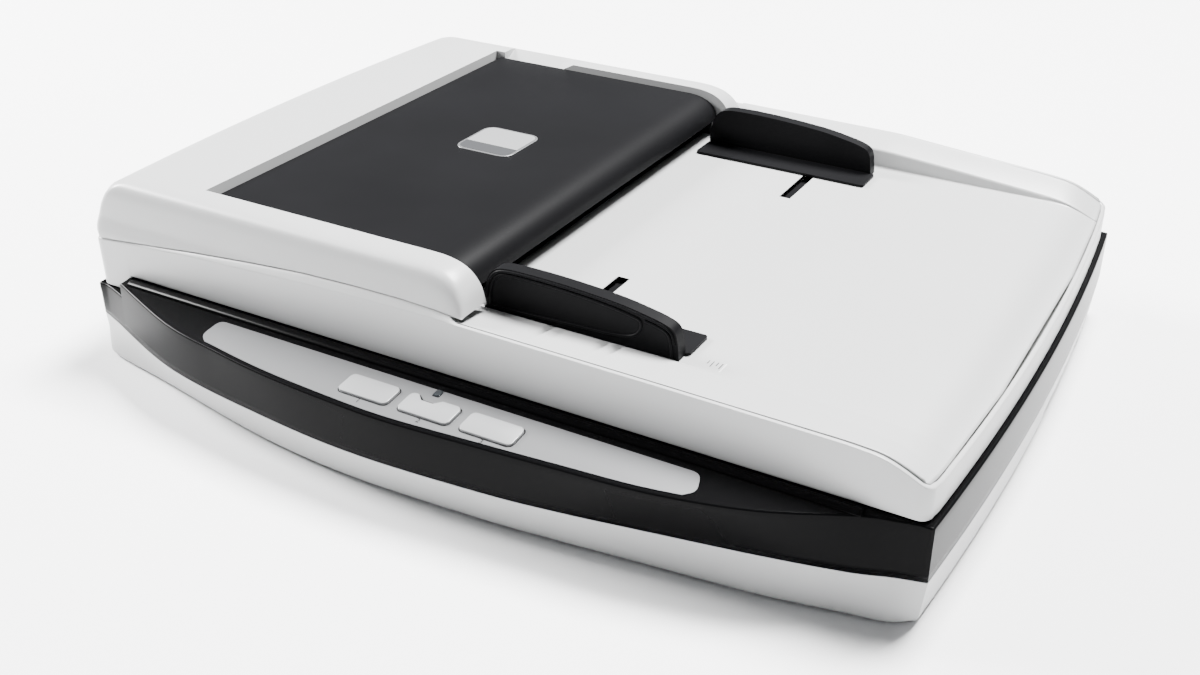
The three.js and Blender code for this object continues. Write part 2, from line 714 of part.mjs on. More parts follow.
function carriageLamp() {
  const left = fromLeft(carriage.home) - carriage.trough * half + gap;
  const floor = carriage.top - carriage.troughDepth + gap;
  return block([left, left + carriage.lampWidth], [carriage.front + carriage.wall + gap,
    carriage.back - carriage.wall - gap],
    [floor, floor + carriage.lampHeight]);
}

function guideRod() {
  return prismX(circle(rod.radius, [rod.back, rod.height], someSides), fromLeft(rod.left),
    fromLeft(rod.right));
}

function beltPulley(place, bore) {
  const centre = [fromLeft(place), belt.middle];
  const drum = prismZ(circle(belt.pulleyRadius, centre, moreSides), belt.height, belt.height + belt.width);
  const rim = belt.pulleyRadius + belt.thickness;
  const low = prismZ(circle(rim, centre, moreSides), belt.height - belt.flange, belt.height - gap);
  const hub = prismZ(circle(belt.pulleyRadius - gap, centre, moreSides), belt.height - belt.flange,
    belt.height + gap);
  return cutBy(joined(drum, low, hub), prismZ(circle(bore, centre, fewSides), 0, base.deck));
}

// The toothed belt's loop round both pulleys
function driveBelt() {
  const loop = (radius, grow) => {
    const points = [];
    for (const [place, start] of [[belt.idlerAt, -half], [belt.motorAt, half]]) {
      for (let step = 0; step <= someSides; step += 1) {
        const angle = (start + step / someSides) * Math.PI;
        points.push([fromLeft(place) + radius * Math.cos(angle), belt.middle + radius * Math.sin(angle)]);
      }
    }
    return prismZ(points, belt.height - grow, belt.height + belt.width + grow);
  };
  return cutBy(loop(belt.pulleyRadius + gap + belt.thickness, 0), loop(belt.pulleyRadius + gap, overrun));
}

function driveMotor() {
  const centre = [fromLeft(belt.motorAt), belt.middle];
  const can = prismZ(circle(motor.radius, centre, manySides), belt.height + belt.width + gap * 2,
    belt.height + belt.width + gap * 2 + motor.height);
  const shaft = prismZ(circle(motor.shaft, centre, fewSides), trayFloor + gap,
    belt.height + belt.width + overrun);
  return joined(can, shaft);
}

function mainBoard() {
  return block([fromLeft(board.left), fromLeft(board.right)], [board.front, board.back],
    [trayFloor + board.standoff + gap, trayFloor + board.standoff + gap + board.thickness]);
}

function socketBody(place) {
  const x = [fromLeft(place) - socket.width * half, fromLeft(place) + socket.width * half];
  return block(x, [base.back - socket.deep, base.back], [socket.height - socket.tall * half,
    socket.height + socket.tall * half]);
}

function powerSocket() {
  const centre = [fromLeft(socket.powerAt), socket.height];
  const hole = prismY(circle(socket.hole, centre, moreSides), base.back - socket.deep + base.wall,
    base.back + overrun);
  const pin = prismY(circle(socket.pin, centre, fewSides), base.back - socket.deep + base.wall * half,
    base.back - base.wall);
  return joined(cutBy(socketBody(socket.powerAt), hole), pin);
}

function usbSocket() {
  const x = fromLeft(socket.usbAt);
  const inner = base.back - socket.deep + base.wall;
  const hole = block([x - socket.usbHole * half, x + socket.usbHole * half], [inner, base.back + overrun],
    [socket.height - socket.usbTall * half, socket.height + socket.usbTall * half]);
  const tongue = block([x - socket.tongueWide * half, x + socket.tongueWide * half],
    [inner - gap, base.back - base.wall],
    [socket.height - socket.tongueTall * half, socket.height + socket.tongueTall * half]);
  return joined(cutBy(socketBody(socket.usbAt), hole), tongue);
}

// The bezel of the power switch, open at the back for its push button
function switchBezel() {
  const x = fromLeft(socket.switchAt);
  const wide = socket.switchWidth * half;
  const body = block([x - wide, x + wide], [base.back - socket.deep, base.back],
    [socket.height - socket.tall * half, socket.height + socket.tall * half]);
  const rim = wide - base.wall * half;
  const hole = block([x - rim, x + rim], [base.back - socket.deep + base.wall, base.back + overrun],
    [socket.height - socket.tall * half + base.wall * half,
    socket.height + socket.tall * half - base.wall * half]);
  return cutBy(body, hole);
}

function switchButton() {
  const x = fromLeft(socket.switchAt);
  const wide = socket.switchWidth * half - base.wall * half - running;
  const tall = socket.tall * half - base.wall * half - running;
  return block([x - wide, x + wide], [base.back - button.deep, base.back + button.out],
    [socket.height - tall, socket.height + tall]);
}

// One of the two posts that carry the lid and slide up for a thick book
function hingePost(centre) {
  const x = [centre - post.width * half, centre + post.width * half];
  const column = block(x, [post.front, post.back], [post.bottom, post.shoulder]);
  const wide = post.knuckleWidth * half;
  const neck = block([centre - wide, centre + wide], [post.axisBack - post.knuckleRadius + gap,
    post.axisBack + post.knuckleRadius - gap], [post.shoulder - overrun, post.axisHeight]);
  const knuckle = prismX(circle(post.knuckleRadius, [post.axisBack, post.axisHeight], manySides),
    centre - wide, centre + wide);
  const bore = prismX(circle(post.pinRadius + gap, [post.axisBack, post.axisHeight], someSides),
    centre - post.width,
    centre + post.width);
  return cutBy(joined(column, neck, knuckle), bore);
}

function hingePin(centre) {
  return prismX(circle(post.pinRadius, [post.axisBack, post.axisHeight], someSides),
    centre - post.pinLength * half,
    centre + post.pinLength * half);
}

// The lid

function lidOutline(inset) {
  const points = [];
  const reach = lid.width * half;
  const steps = sideSteps;
  const corner = lid.corner;
  points.push([-reach + corner, 0], [reach - corner, 0], [reach - corner * (1 - Math.SQRT1_2),
    corner * (1 - Math.SQRT1_2)]);
  for (let step = 0; step <= steps; step += 1) {
    const y = corner + ((lid.depth - corner * 2) * step) / steps;
    points.push([reach + bulgeAt(y, lid.bulge, lid.depth), y]);
  }
  points.push([reach - corner, lid.depth], [corner - reach, lid.depth]);
  for (let step = steps; step >= 0; step -= 1) {
    const y = corner + ((lid.depth - corner * 2) * step) / steps;
    points.push([-reach - bulgeAt(y, lid.bulge, lid.depth), y]);
  }
  points.push([corner * (1 - Math.SQRT1_2) - reach, corner * (1 - Math.SQRT1_2)]);
  return movedIn(points, inset);
}

// One section of the lid's body across its depth
function lidSection(station, inset, bottom) {
  const front = inset;
  const back = lid.depth - inset;
  const drop = inset;
  return [[front, bottom], [front, station.lip - lid.lip - drop], [front + lid.lip, station.lip - drop],
    [station.slope, station.floor - drop], [lid.railInner + inset, station.floor - drop],
    [lid.railInner + inset + lid.lip * half, station.railInner - drop],
    [back - lid.lip, station.railOuter - drop],
    [back, station.railOuter - lid.lip - drop], [back, bottom]];
}

// One section under the feeder: a shoulder behind the lip, then level from front to back
function archSection(station, inset, bottom) {
  const z = station.seam - inset;
  const deep = inset + (shoulder.depth * (station.seam - station.lip)) / shoulder.fullRise;
  const level = [half * half, half, 1 - half * half].map((share) => [lid.depth * share, z]);
  return [[inset, bottom], [inset, station.lip - inset], [deep, z], ...level, [lid.depth - deep, z],
    [lid.depth - inset, station.lip - inset], [lid.depth - inset, bottom]];
}

// The lid's body from its left end to its right, up to its top faces
function lidForm(inset, bottom) {
  const under = archStations.map((station) => [station.fromLeft, archSection(station, inset, bottom)]);
  const tray = trayStations.map((station) => [station.fromLeft, lidSection(station, inset, bottom)]);
  const rings = [...under, ...tray].map(([place, ring]) => ring.map(([y, z]) => [fromLeft(place), y, z]));
  return loft(rings).intersect(prismZ(lidOutline(inset), bottom, housing.top * 2));
}

function guideSlot(toBack) {
  const inner = toBack ? guide.innerBack : guide.innerFront;
  const way = toBack ? -1 : 1;
  const start = inner - way * (guide.neckDepth + running);
  const end = inner + way * (guide.travel + running);
  const x = neckPlace(toBack);
  return block([x - guide.neckWidth * half - running, x + guide.neckWidth * half + running],
    [Math.min(start, end), Math.max(start, end)], [lid.bottom + overrun, housing.top]);
}

const pinionCentre = [fromLeft(rack.fromLeft), (guide.innerFront + guide.innerBack) * half];
const pinionRadius = rack.module * rack.teeth * half;
const trayUnder = trayStations[0].floor - lid.wall;
const rackBottom = trayUnder - gap - rack.thickness;

// Where a guide's neck and rack run, beside the pinion
function neckPlace(toBack) {
  const side = toBack ? 1 : -1;
  return pinionCentre[0] + side * (pinionRadius + rack.module * rack.dedendum + rack.width * half);
}

function earBoss(centre, side) {
  const inner = centre + side * (post.knuckleWidth * half + gap);
  const outer = centre + side * (post.pinLength * half + lid.wall);
  const x = [Math.min(inner, outer), Math.max(inner, outer)];
  const y = [post.axisBack - post.knuckleRadius, lid.depth - lid.wall * half];
  const z = [post.axisHeight - post.knuckleRadius, post.axisHeight + post.knuckleRadius + lid.wall];
  const bore = prismX(circle(post.pinRadius + gap * half, [post.axisBack, post.axisHeight], someSides),
    inner - side * overrun,
    outer - side * lid.wall + side * gap);
  return cutBy(block(x, y, z), bore);
}

// The notch in the lid's back wall that clears one hinge post
function postNotch(centre) {
  const wide = post.width * half + gap * 2;
  return block([centre - wide, centre + wide], [post.front - gap * 2, lid.depth + overrun],
    [lid.bottom - overrun, post.axisHeight - post.knuckleRadius - gap]);
}

// The swing space of one knuckle inside the lid
function knuckleSpace(centre) {
  const wide = post.knuckleWidth * half + gap;
  return block([centre - wide, centre + wide], [post.axisBack - post.knuckleRadius - running,
    lid.depth + overrun],
    [lid.bottom - overrun, post.axisHeight + post.knuckleRadius + running]);
}

function lidShell() {
  const body = joined(lidForm(0, lid.bottom), skirt());
  const underHousing = block([-lid.width, fromLeft(lid.trayStart)], [0, lid.depth], [0, housing.top]);
  const hollow = cutBy(lidForm(lid.wall, lid.bottom - lid.wall * 4), underHousing);
  const deep = prismZ(lidOutline(lid.wall), lid.skirtBottom - overrun, lid.rimFoot).intersect(underHousing);
  const throughRim = prismZ(lidOutline(lid.wall + lid.rimExtra), lid.skirtBottom, housing.top)
    .intersect(underHousing);
  const chamferFront = lid.depth - lid.backChamfer;
  const chamferTop = lid.bottom + lid.backChamfer + overrun * half;
  const chamferBack = lid.depth + overrun;
  const chamferLow = lid.skirtBottom - overrun;
  const chamfer = prismX([[chamferFront, chamferLow], [chamferFront, lid.bottom - overrun * half],
    [chamferBack, chamferTop], [chamferBack, chamferLow]], -lid.width, lid.width);
  const boss = prismZ(circle(rack.boss, pinionCentre, someSides), rackBottom - gap * 2,
    trayUnder + lid.wall * half);
  const centres = post.fromLeft.map(fromLeft);
  const ears = centres.flatMap((centre) => [earBoss(centre, -1), earBoss(centre, 1)]);
  const spaces = centres.flatMap((centre) => [postNotch(centre), knuckleSpace(centre)]);
  const throat = block([fromLeft(lid.trayStart) - overrun, fromLeft(lid.trayEnd)],
    [guide.innerFront - guide.thickness, lid.railInner], [trayStations[0].floor, housing.top]);
  const shell = cutBy(body, hollow, deep, throughRim, chamfer, throat);
  return cutBy(joined(shell, boss, ...ears), ...spaces, guideSlot(false), guideSlot(true));
}

function skirt() {
  return prismZ(lidOutline(0), lid.skirtBottom, lid.bottom + lid.wall).intersect(
    block([-lid.width, fromLeft(lid.skirtWidth)], [-lid.width, lid.width], [0, housing.top]));
}

function documentPad() {
  const outline = roundRect([fromLeft(pad.left), fromLeft(pad.right)], [pad.front, pad.back], pad.corner);
  return prismZ(outline, pad.bottom, pad.bottom + pad.thickness);
}

function padPlateSheet() {
  const bottom = pad.bottom + pad.thickness + padPlate.standoff;
  const inner = prismZ(lidOutline(lid.wall + gap), bottom, bottom + padPlate.thickness);
  const right = block([fromLeft(padPlate.left), lid.width], [-lid.width, lid.width], [0, housing.top]);
  const wide = post.width * half + post.pinLength;
  const notches = post.fromLeft.map((place) => block([fromLeft(place) - wide, fromLeft(place) + wide],
    [post.front - gap * 4, lid.depth + overrun], [0, housing.top]));
  return cutBy(inner.intersect(right), ...notches);
}

// The feeder's housing

// The outline of the housing seen from the front, with its left end pushed out by the side's bulge
function housingOutline(push) {
  const arch = archStations.filter((station) => station.fromLeft > leftEnd[0][0])
    .map((station) => [fromLeft(station.fromLeft), station.seam + gap]);
  const nose = [[housing.noseEnd, housing.noseFoot + gap], ...noseEnd.slice().reverse()];
  const left = leftEnd.slice().reverse();
  const top = left[0][1];
  const bottom = left[left.length - 1][1];
  const pushed = left.map(([place, z]) => [fromLeft(place) - (push * (top - z)) / (top - bottom), z]);
  return [...arch, ...nose.map(([place, z]) => [fromLeft(place), z]),
    [fromLeft(housing.bayLeft), housing.top],
    [fromLeft(housing.ridge), housing.top], ...pushed];
}

// The leaning flanks: everything between the front and back faces
function flankOutline(inset) {
  const front = flankLean.map(([y, z]) => [y + inset, z - inset]);
  const back = flankLean.slice().reverse().map(([y, z]) => [lid.depth - y - inset, z - inset]);
  return [[inset, lid.bottom], ...front, ...back, [lid.depth - inset, lid.bottom]];
}

function housingSolid() {
  const rings = [];
  for (let step = 0; step <= sideSteps; step += 1) {
    const y = (lid.depth * step) / sideSteps;
    rings.push(housingOutline(bulgeAt(y, lid.bulge, lid.depth)).map(([x, z]) => [x, y, z]));
  }
  return loft(rings).intersect(prismX(flankOutline(0), -lid.width, lid.width));
}

// The slot at the left end where the paper comes out
function exitSlot() {
  return block([-lid.width, fromLeft(housing.bayLeft) + overrun], [housing.exitFront, housing.exitBack],
    [lid.bottom, housing.exitTop]);
}

// The ramp in the back cheek that lets a finger reach the cover's edge
function fingerCut() {
  const outline = [[housing.bayBack - overrun, fingerRecess.bottom], [housing.bayBack, fingerRecess.bottom],
    [fingerRecess.back, housing.top + gap], [fingerRecess.back, housing.top * 2],
    [housing.bayBack - overrun, housing.top * 2]];
  const left = fromLeft(fingerRecess.left);
  const right = fromLeft(fingerRecess.right);
  const plan = [[left, housing.bayBack - overrun], [right, housing.bayBack - overrun],
    [right - fingerRecess.ramp, fingerRecess.back + overrun], [left, fingerRecess.back + overrun]];
  return prismX(outline, left, right).intersect(prismZ(plan, 0, housing.top * 2));
}

function adfHousing() {
  const bay = block([fromLeft(housing.bayLeft), lid.width], [housing.bayFront, housing.bayBack],
    [0, housing.top * 2]);
  const wall = housing.wall;
  const low = lid.bottom;
  const left = leftEnd.map(([place, z]) => [fromLeft(place + wall * 2), z - wall]).reverse();
  const leftOutline = [[fromLeft(housing.bayLeft - wall), low],
    [fromLeft(housing.bayLeft - wall), housing.top - housing.roof],
    [fromLeft(housing.ridge + wall), housing.top - housing.roof], ...left,
    [fromLeft(leftEnd[0][0] + wall * 2), low]];
  const flanks = prismX(flankOutline(wall), -lid.width, lid.width);
  const leftRoom = prismY(leftOutline, 0, lid.depth).intersect(flanks);
  const cheekRoom = (y, top) => block([fromLeft(housing.bayLeft - wall - overrun),
    fromLeft(noseEnd[0][0])], y,
    [low, top]).intersect(flanks);
  const frontRoom = cheekRoom([0, housing.bayFront - wall], noseEnd[0][1] - housing.roof);
  const backRoom = cheekRoom([housing.bayBack + wall, lid.depth], fingerRecess.bottom - wall);
  const bulkhead = block([fromLeft(housing.bayLeft - wall) - overrun, fromLeft(housing.bayLeft) + overrun],
    [housing.bayFront, housing.bayBack], [low, housing.chassisTop]);
  const pinHoles = prismY(circle(cover.pinRadius + gap, coverAxis, fewSides),
    housing.bayFront - housing.pinDepth - gap,
    housing.bayBack + housing.pinDepth + gap);
  const lidBelow = lidForm(-gap, lid.bottom).intersect(block([fromLeft(lid.trayEnd) - running * 2,
    lid.width], [-lid.width, lid.width],
    [0, housing.top * 2]));
  return cutBy(housingSolid(), bay, leftRoom, frontRoom, backRoom, bulkhead, exitSlot(), pinHoles,
    lidBelow, fingerCut());
}

// The cover: a sheet that bends down over the feed entrance, with two hinge knuckles
function coverLine(drop) {
  const bottom = cover.lipBottom;
  const rise = cover.top - bottom;
  return coverBendShares.map(([across, up]) => [fromLeft(cover.bendStart + (coverBend.run - drop) * across),
    bottom + (rise - drop) * up]);
}

const coverAxis = [fromLeft(cover.left + cover.hingeInset), cover.top - cover.hingeDrop];

function adfCover() {
  const outer = [[fromLeft(cover.left), cover.top], ...coverLine(0)];
  const inner = [[fromLeft(cover.left), cover.top - cover.thickness], ...coverLine(cover.thickness)];
  const sheet = prismY([...outer, ...inner.reverse()], cover.front, cover.back);
  const places = [cover.front + cover.knuckleSetIn, cover.back - cover.knuckleSetIn - cover.knuckleWidth];
  const knuckles = places.map((y) => {
    const round = prismY(circle(cover.knuckleRadius, coverAxis, someSides), y, y + cover.knuckleWidth);
    const web = block([coverAxis[0] - cover.knuckleRadius * half, coverAxis[0] + cover.knuckleRadius],
      [y, y + cover.knuckleWidth],
      [coverAxis[1], cover.top - cover.thickness * half]);
    return joined(round, web);
  });
  const bore = prismY(circle(cover.pinRadius + gap, coverAxis, fewSides), cover.front - overrun,
    cover.back + overrun);
  const badgeSeat = badgePlate(gap, overrun);
  return cutBy(joined(sheet, ...knuckles), bore, badgeSeat);
}

function coverPin() {
  return prismY(circle(cover.pinRadius, coverAxis, fewSides), housing.bayFront - housing.pinDepth,
    housing.bayBack + housing.pinDepth);
}

function badgePlate(grow, extra) {
  const x = fromLeft(badge.centre);
  const wide = badge.width * half + grow;
  const deep = badge.depth * half + grow;
  const outline = roundRect([x - wide, x + wide], [badge.middle - deep, badge.middle + deep], badge.corner);
  return prismZ(outline, cover.top - badge.sink - grow, cover.top - badge.sink + badge.thickness + extra);
}

// The paper guides

// A guide's rack: a bar beside the pinion with its teeth towards it
function rackBar(toBack) {
  const side = toBack ? -1 : 1;
  const way = toBack ? -1 : 1;
  const inner = toBack ? guide.innerBack : guide.innerFront;
  const pitch = Math.PI * rack.module;
  const line = pinionCentre[0] - side * pinionRadius;
  const root = line - side * rack.module * rack.dedendum;
  const tip = line + side * rack.module * rack.addendum;
  const outer = root - side * rack.width;
  const wide = pitch * (rack.toothShare + rack.tipShare) * half;
  const thin = pitch * rack.tipShare * half;
  const count = Math.ceil((guide.travel + rack.reach) / pitch);
  const profile = [];
  for (let at = 0; at < count; at += 1) {
    const middle = pinionCentre[1] + way * pitch * (at + half + rack.ahead - count);
    profile.push([root, middle - way * wide], [tip, middle - way * thin], [tip, middle + way * thin],
      [root, middle + way * wide]);
  }
  const start = inner - way * guide.neckDepth;
  const end = profile[profile.length - 1][1] + way * rack.width;
  return prismZ([[outer, start], [root, start], ...profile, [root, end], [outer, end]], rackBottom,
    rackBottom + rack.thickness);
}

function paperGuide(toBack) {
  const way = toBack ? -1 : 1;
  const inner = toBack ? guide.innerBack : guide.innerFront;
  const outerFace = inner - way * guide.thickness;
  const wing = [[guide.left, guide.foot], ...guideTop, [guide.right, guide.foot]];
  const y = [Math.min(inner, outerFace), Math.max(inner, outerFace)];
  const body = prismY(wing.map(([place, z]) => [fromLeft(place), z]), y[0], y[1]);
  const flangeEnds = [inner - way * gap * 2, inner + way * guide.flange];
  const flange = block([fromLeft(guide.left), fromLeft(guide.right + guide.flangeEnd)],
    [Math.min(...flangeEnds), Math.max(...flangeEnds)], [guide.foot, guide.foot + guide.flangeThickness]);
  const x = neckPlace(toBack);
  const neckEnds = [inner - way * guide.neckDepth + way * gap, inner - way * gap];
  const neck = block([x - guide.neckWidth * half, x + guide.neckWidth * half],
    [Math.min(...neckEnds), Math.max(...neckEnds)],
    [rackBottom, guide.foot + guide.flangeThickness]);
  return joined(body, flange, neck, rackBar(toBack));
}

function guidePinion() {
  const pitchAngle = (Math.PI * 2) / rack.teeth;
  const rootRadius = pinionRadius - rack.module * rack.dedendum;
  const tipRadius = pinionRadius + rack.module * rack.addendum;
  const points = [];
  for (let tooth = 0; tooth < rack.teeth; tooth += 1) {
    const middle = tooth * pitchAngle;
    const wide = pitchAngle * (rack.toothShare + rack.tipShare) * half;
    const tip = pitchAngle * rack.tipShare * half;
    for (const [radius, turn] of [[rootRadius, -wide], [tipRadius, -tip], [tipRadius, tip],
      [rootRadius, wide]]) {
      points.push([pinionCentre[0] + radius * Math.cos(middle + turn),
        pinionCentre[1] + radius * Math.sin(middle + turn)]);
    }
  }
  const bore = prismZ(circle(rack.bore, pinionCentre, someSides), 0, housing.top);
  return cutBy(prismZ(points, rackBottom, rackBottom + rack.thickness), bore);
}

// The feeder's mechanism

// A bent sheet along the chute, with the scanning window left open
function chuteSheet(from, to) {
  const span = chute.filter(([place]) => place >= from && place <= to);
  const top = span.map(([place, z]) => [fromLeft(place), z]);
  const under = span.slice().reverse().map(([place, z]) => [fromLeft(place), z - chassis.sheet]);
  return prismY([...top, ...under], chassis.front, chassis.back);
}

// The chassis's bottom clears the glass at the window and the pad's plate to its right
const chassisLow = lid.bottom + gap * 2;
const chassisRight = chute[6][1] - chassis.sheet;

function chassisSide(y) {
  const { feed, exit } = shafts;
  const outline = [[chassis.left, chassis.cornerHeight], [chassis.windowLeft, chassisLow],
    [chassis.windowRight, chassisLow],
    [chute[6][0], chassisRight], [chassis.right, chassisRight], [chassis.right, feed.height],
    [feed.fromLeft + feed.radius, feed.height + feed.radius],
    [feed.fromLeft - feed.radius, feed.height + feed.radius],
    [exit.fromLeft, exit.height + exit.radius], [chassis.left, exit.height + exit.radius]];
  const plate = prismY(outline.map(([place, z]) => [fromLeft(place), z]), y, y + chassis.side);
  const holes = Object.values(shafts).map((line) => prismY(circle(shaft.radius + gap,
    [fromLeft(line.fromLeft), line.height],
    someSides), y - overrun, y + chassis.side + overrun));
  return cutBy(plate, ...holes);
}

function adfChassis() {
  const sides = [chassisSide(chassis.front - chassis.side), chassisSide(chassis.back)];
  return joined(chuteSheet(chassis.left, chassis.windowLeft),
    chuteSheet(chassis.windowRight, chassis.right), ...sides);
}

const pulleyFront = chassis.front - chassis.side - gap - shaft.pulleyWidth;

// A shaft from its pulley's outer face to the far bearing
function rollerShaft(line) {
  return prismY(circle(shaft.radius, [fromLeft(line.fromLeft), line.height], someSides),
    pulleyFront - shaft.end,
    chassis.back + chassis.side + shaft.end * half);
}

function onShaft(line, radius, y) {
  const centre = [fromLeft(line.fromLeft), line.height];
  return cutBy(prismY(circle(radius, centre, manySides), y[0], y[1]),
    prismY(circle(shaft.radius + gap, centre, someSides), y[0] - overrun,
    y[1] + overrun));
}

function rollerSleeve(line, middle) {
  return onShaft(line, line.radius, [middle - line.width * half, middle + line.width * half]);
}

function shaftPulley(line) {
  return onShaft(line, shaft.pulley, [pulleyFront, pulleyFront + shaft.pulleyWidth]);
}

// The outline of a band drawn tight round a set of points
function tightRound(points) {
  const sorted = points.slice().sort((a, b) => a[0] - b[0] || a[1] - b[1]);
  const turn = (a, b, c) => (b[0] - a[0]) * (c[1] - a[1]) - (b[1] - a[1]) * (c[0] - a[0]);
  const chain = (list) => {
    const kept = [];
    for (const point of list) {
      while (kept.length > 1 && turn(kept[kept.length - 2], kept[kept.length - 1], point) <= 0) {
        kept.pop();
      }
      kept.push(point);
    }
    return kept.slice(0, -1);
  };
  return [...chain(sorted), ...chain(sorted.slice().reverse())];
}

function feederBelt() {
  const loop = (radius, grow) => {
    const points = Object.values(shafts).flatMap((line) => circle(radius,
      [fromLeft(line.fromLeft), line.height], manySides));
    const margin = (shaft.pulleyWidth - shaft.beltWidth) * half - grow;
    return prismY(tightRound(points), pulleyFront + margin, pulleyFront + shaft.pulleyWidth - margin);
  };
  return cutBy(loop(shaft.pulley + gap + shaft.belt, 0), loop(shaft.pulley + gap, overrun));
}

function whitePressPlate() {
  return block([fromLeft(pressPlate.left), fromLeft(pressPlate.right)],
    [chassis.front + gap, chassis.back - gap],
    [pressPlate.bottom, pressPlate.bottom + pressPlate.thickness]);
}

function separationPad() {
  const top = shafts.feed.height - shafts.feed.radius - gap;
  return block([fromLeft(separation.left), fromLeft(separation.right)],
    [arm.middle - separation.width * half, arm.middle + separation.width * half],
    [top - separation.thickness, top]);
}

// The arm that hangs the pickup roller on the feed shaft: two cheeks and a bridge
function pickupArm() {
  const { feed } = shafts;
  const hub = [fromLeft(feed.fromLeft), feed.height];
  const pick = [fromLeft(arm.pickAt), arm.pickHeight];
  const outline = tightRound([...circle(arm.hub, hub, someSides), ...circle(arm.hub, pick, someSides)]);
  const top = feed.height + arm.hub + arm.bridge * 2;
  const inner = arm.between * half;
  const cheeks = [arm.middle - inner - arm.cheek, arm.middle + inner].map((y) => joined(prismY(outline, y,
    y + arm.cheek),
    block([fromLeft(arm.bridgeLeft), fromLeft(arm.bridgeRight)], [y, y + arm.cheek],
    [arm.pickHeight, top])));
  const bridge = block([fromLeft(arm.bridgeLeft), fromLeft(arm.bridgeRight)],
    [arm.middle - inner - arm.cheek,
    arm.middle + inner + arm.cheek], [top - arm.bridge, top]);
  const far = [arm.middle - inner * 2, arm.middle + inner * 2];
  const bores = [prismY(circle(shaft.radius + gap, hub, someSides), far[0], far[1]),
    prismY(circle(arm.pickAxle + gap, pick, someSides), far[0], far[1])];
  return cutBy(joined(bridge, ...cheeks), ...bores);
}

function pickupRoller() {
  const pick = [fromLeft(arm.pickAt), arm.pickHeight];
  const inner = arm.between * half - running;
  const tread = prismY(circle(arm.pickRadius, pick, manySides), arm.middle - inner, arm.middle + inner);
  const outer = arm.between * half + arm.cheek + shaft.end;
  return joined(tread, prismY(circle(arm.pickAxle, pick, someSides), arm.middle - outer,
    arm.middle + outer));
}

function feederMotorCan() {
  const centre = [fromLeft(feederMotor.fromLeft), feederMotor.height];
  return prismY(circle(feederMotor.radius, centre, manySides), chassis.back - gap - feederMotor.length,
    chassis.back - gap);
}

const parts = [];

function add(name, solid, material) {
  const geometry = geometryOf(solid);
  geometry.computeVertexNormals();
  const mesh = new THREE.Mesh(geometry, material);
  mesh.name = name;
  parts.push(mesh);
}

add("base_tray", baseTray(), materials.whiteShell);
add("base_frame", baseFrame(), materials.blackBand);
add("control_panel", controlPanel(), materials.silverPanel);
key.fromLeft.forEach((place, number) => add(`key_${number + 1}`, keyCap(number), materials.keyGrey));
add("status_light", statusLight(), materials.lens);
add("flatbed_glass", glassPlate([glass.left, glass.right]), materials.glassClear);
add("feeder_glass", glassPlate([glass.adfLeft, glass.adfRight]), materials.glassClear);
footPlaces().forEach((place, number) => add(`foot_${number + 1}`, rubberFoot(place), materials.rubber));
add("scan_carriage", scanCarriage(), materials.innerBlack);
add("carriage_lamp", carriageLamp(), materials.lens);
add("guide_rod", guideRod(), materials.steel);
add("drive_motor", driveMotor(), materials.steel);
add("motor_pulley", beltPulley(belt.motorAt, motor.shaft + gap), materials.gearWhite);
add("idler_pulley", beltPulley(belt.idlerAt, belt.bore), materials.gearWhite);
add("drive_belt", driveBelt(), materials.rubber);
add("main_board", mainBoard(), materials.boardGreen);
add("power_socket", powerSocket(), materials.innerBlack);
add("usb_socket", usbSocket(), materials.steel);
add("switch_bezel", switchBezel(), materials.innerBlack);
add("switch_button", switchButton(), materials.innerBlack);
["left", "right"].forEach((side, number) => {
  add(`hinge_post_${side}`, hingePost(fromLeft(post.fromLeft[number])), materials.innerBlack);
  add(`hinge_pin_${side}`, hingePin(fromLeft(post.fromLeft[number])), materials.steel);
});
add("lid_shell", lidShell(), materials.whiteShell);
add("document_pad", documentPad(), materials.padWhite);
add("pad_plate", padPlateSheet(), materials.whiteShell);
add("adf_housing", adfHousing(), materials.whiteShellUpper);
add("adf_cover", adfCover(), materials.blackCover);
add("cover_pin", coverPin(), materials.steel);
add("cover_badge", badgePlate(0, 0), materials.silverPanel);
add("paper_guide_front", paperGuide(false), materials.blackCover);
add("paper_guide_back", paperGuide(true), materials.blackCover);
add("guide_pinion", guidePinion(), materials.gearWhite);
add("adf_chassis", adfChassis(), materials.innerBlack);
Object.entries(shafts).forEach(([name, line]) => {
  add(`${name}_shaft`, rollerShaft(line), materials.steel);
  add(`${name}_pulley`, shaftPulley(line), materials.gearWhite);
  line.sleeves.forEach((middle, number) => add(`${name}_roller_${number + 1}`, rollerSleeve(line, middle),
    materials.greyRubber));
});
add("feeder_belt", feederBelt(), materials.rubber);
add("press_plate", whitePressPlate(), materials.padWhite);
add("separation_pad", separationPad(), materials.greyRubber);
add("pickup_arm", pickupArm(), materials.innerBlack);
add("pickup_roller", pickupRoller(), materials.greyRubber);
add("feeder_motor", feederMotorCan(), materials.steel);

const scanner = new THREE.Group();
scanner.add(...parts);
const bounds = new THREE.Box3().setFromObject(scanner);
scanner.position.set(-(bounds.min.x + bounds.max.x) * half, -(bounds.min.y + bounds.max.y) * half,
  -bounds.min.z);

export default scanner;
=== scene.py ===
"""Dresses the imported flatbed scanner: smooth shells, finished materials, studio light and camera."""

import json

import bmesh
import bpy
import numpy as np
from bpy.props import FloatProperty, FloatVectorProperty, PointerProperty
from bpy.types import Operator, Panel, PropertyGroup
from mathutils import Matrix, Vector


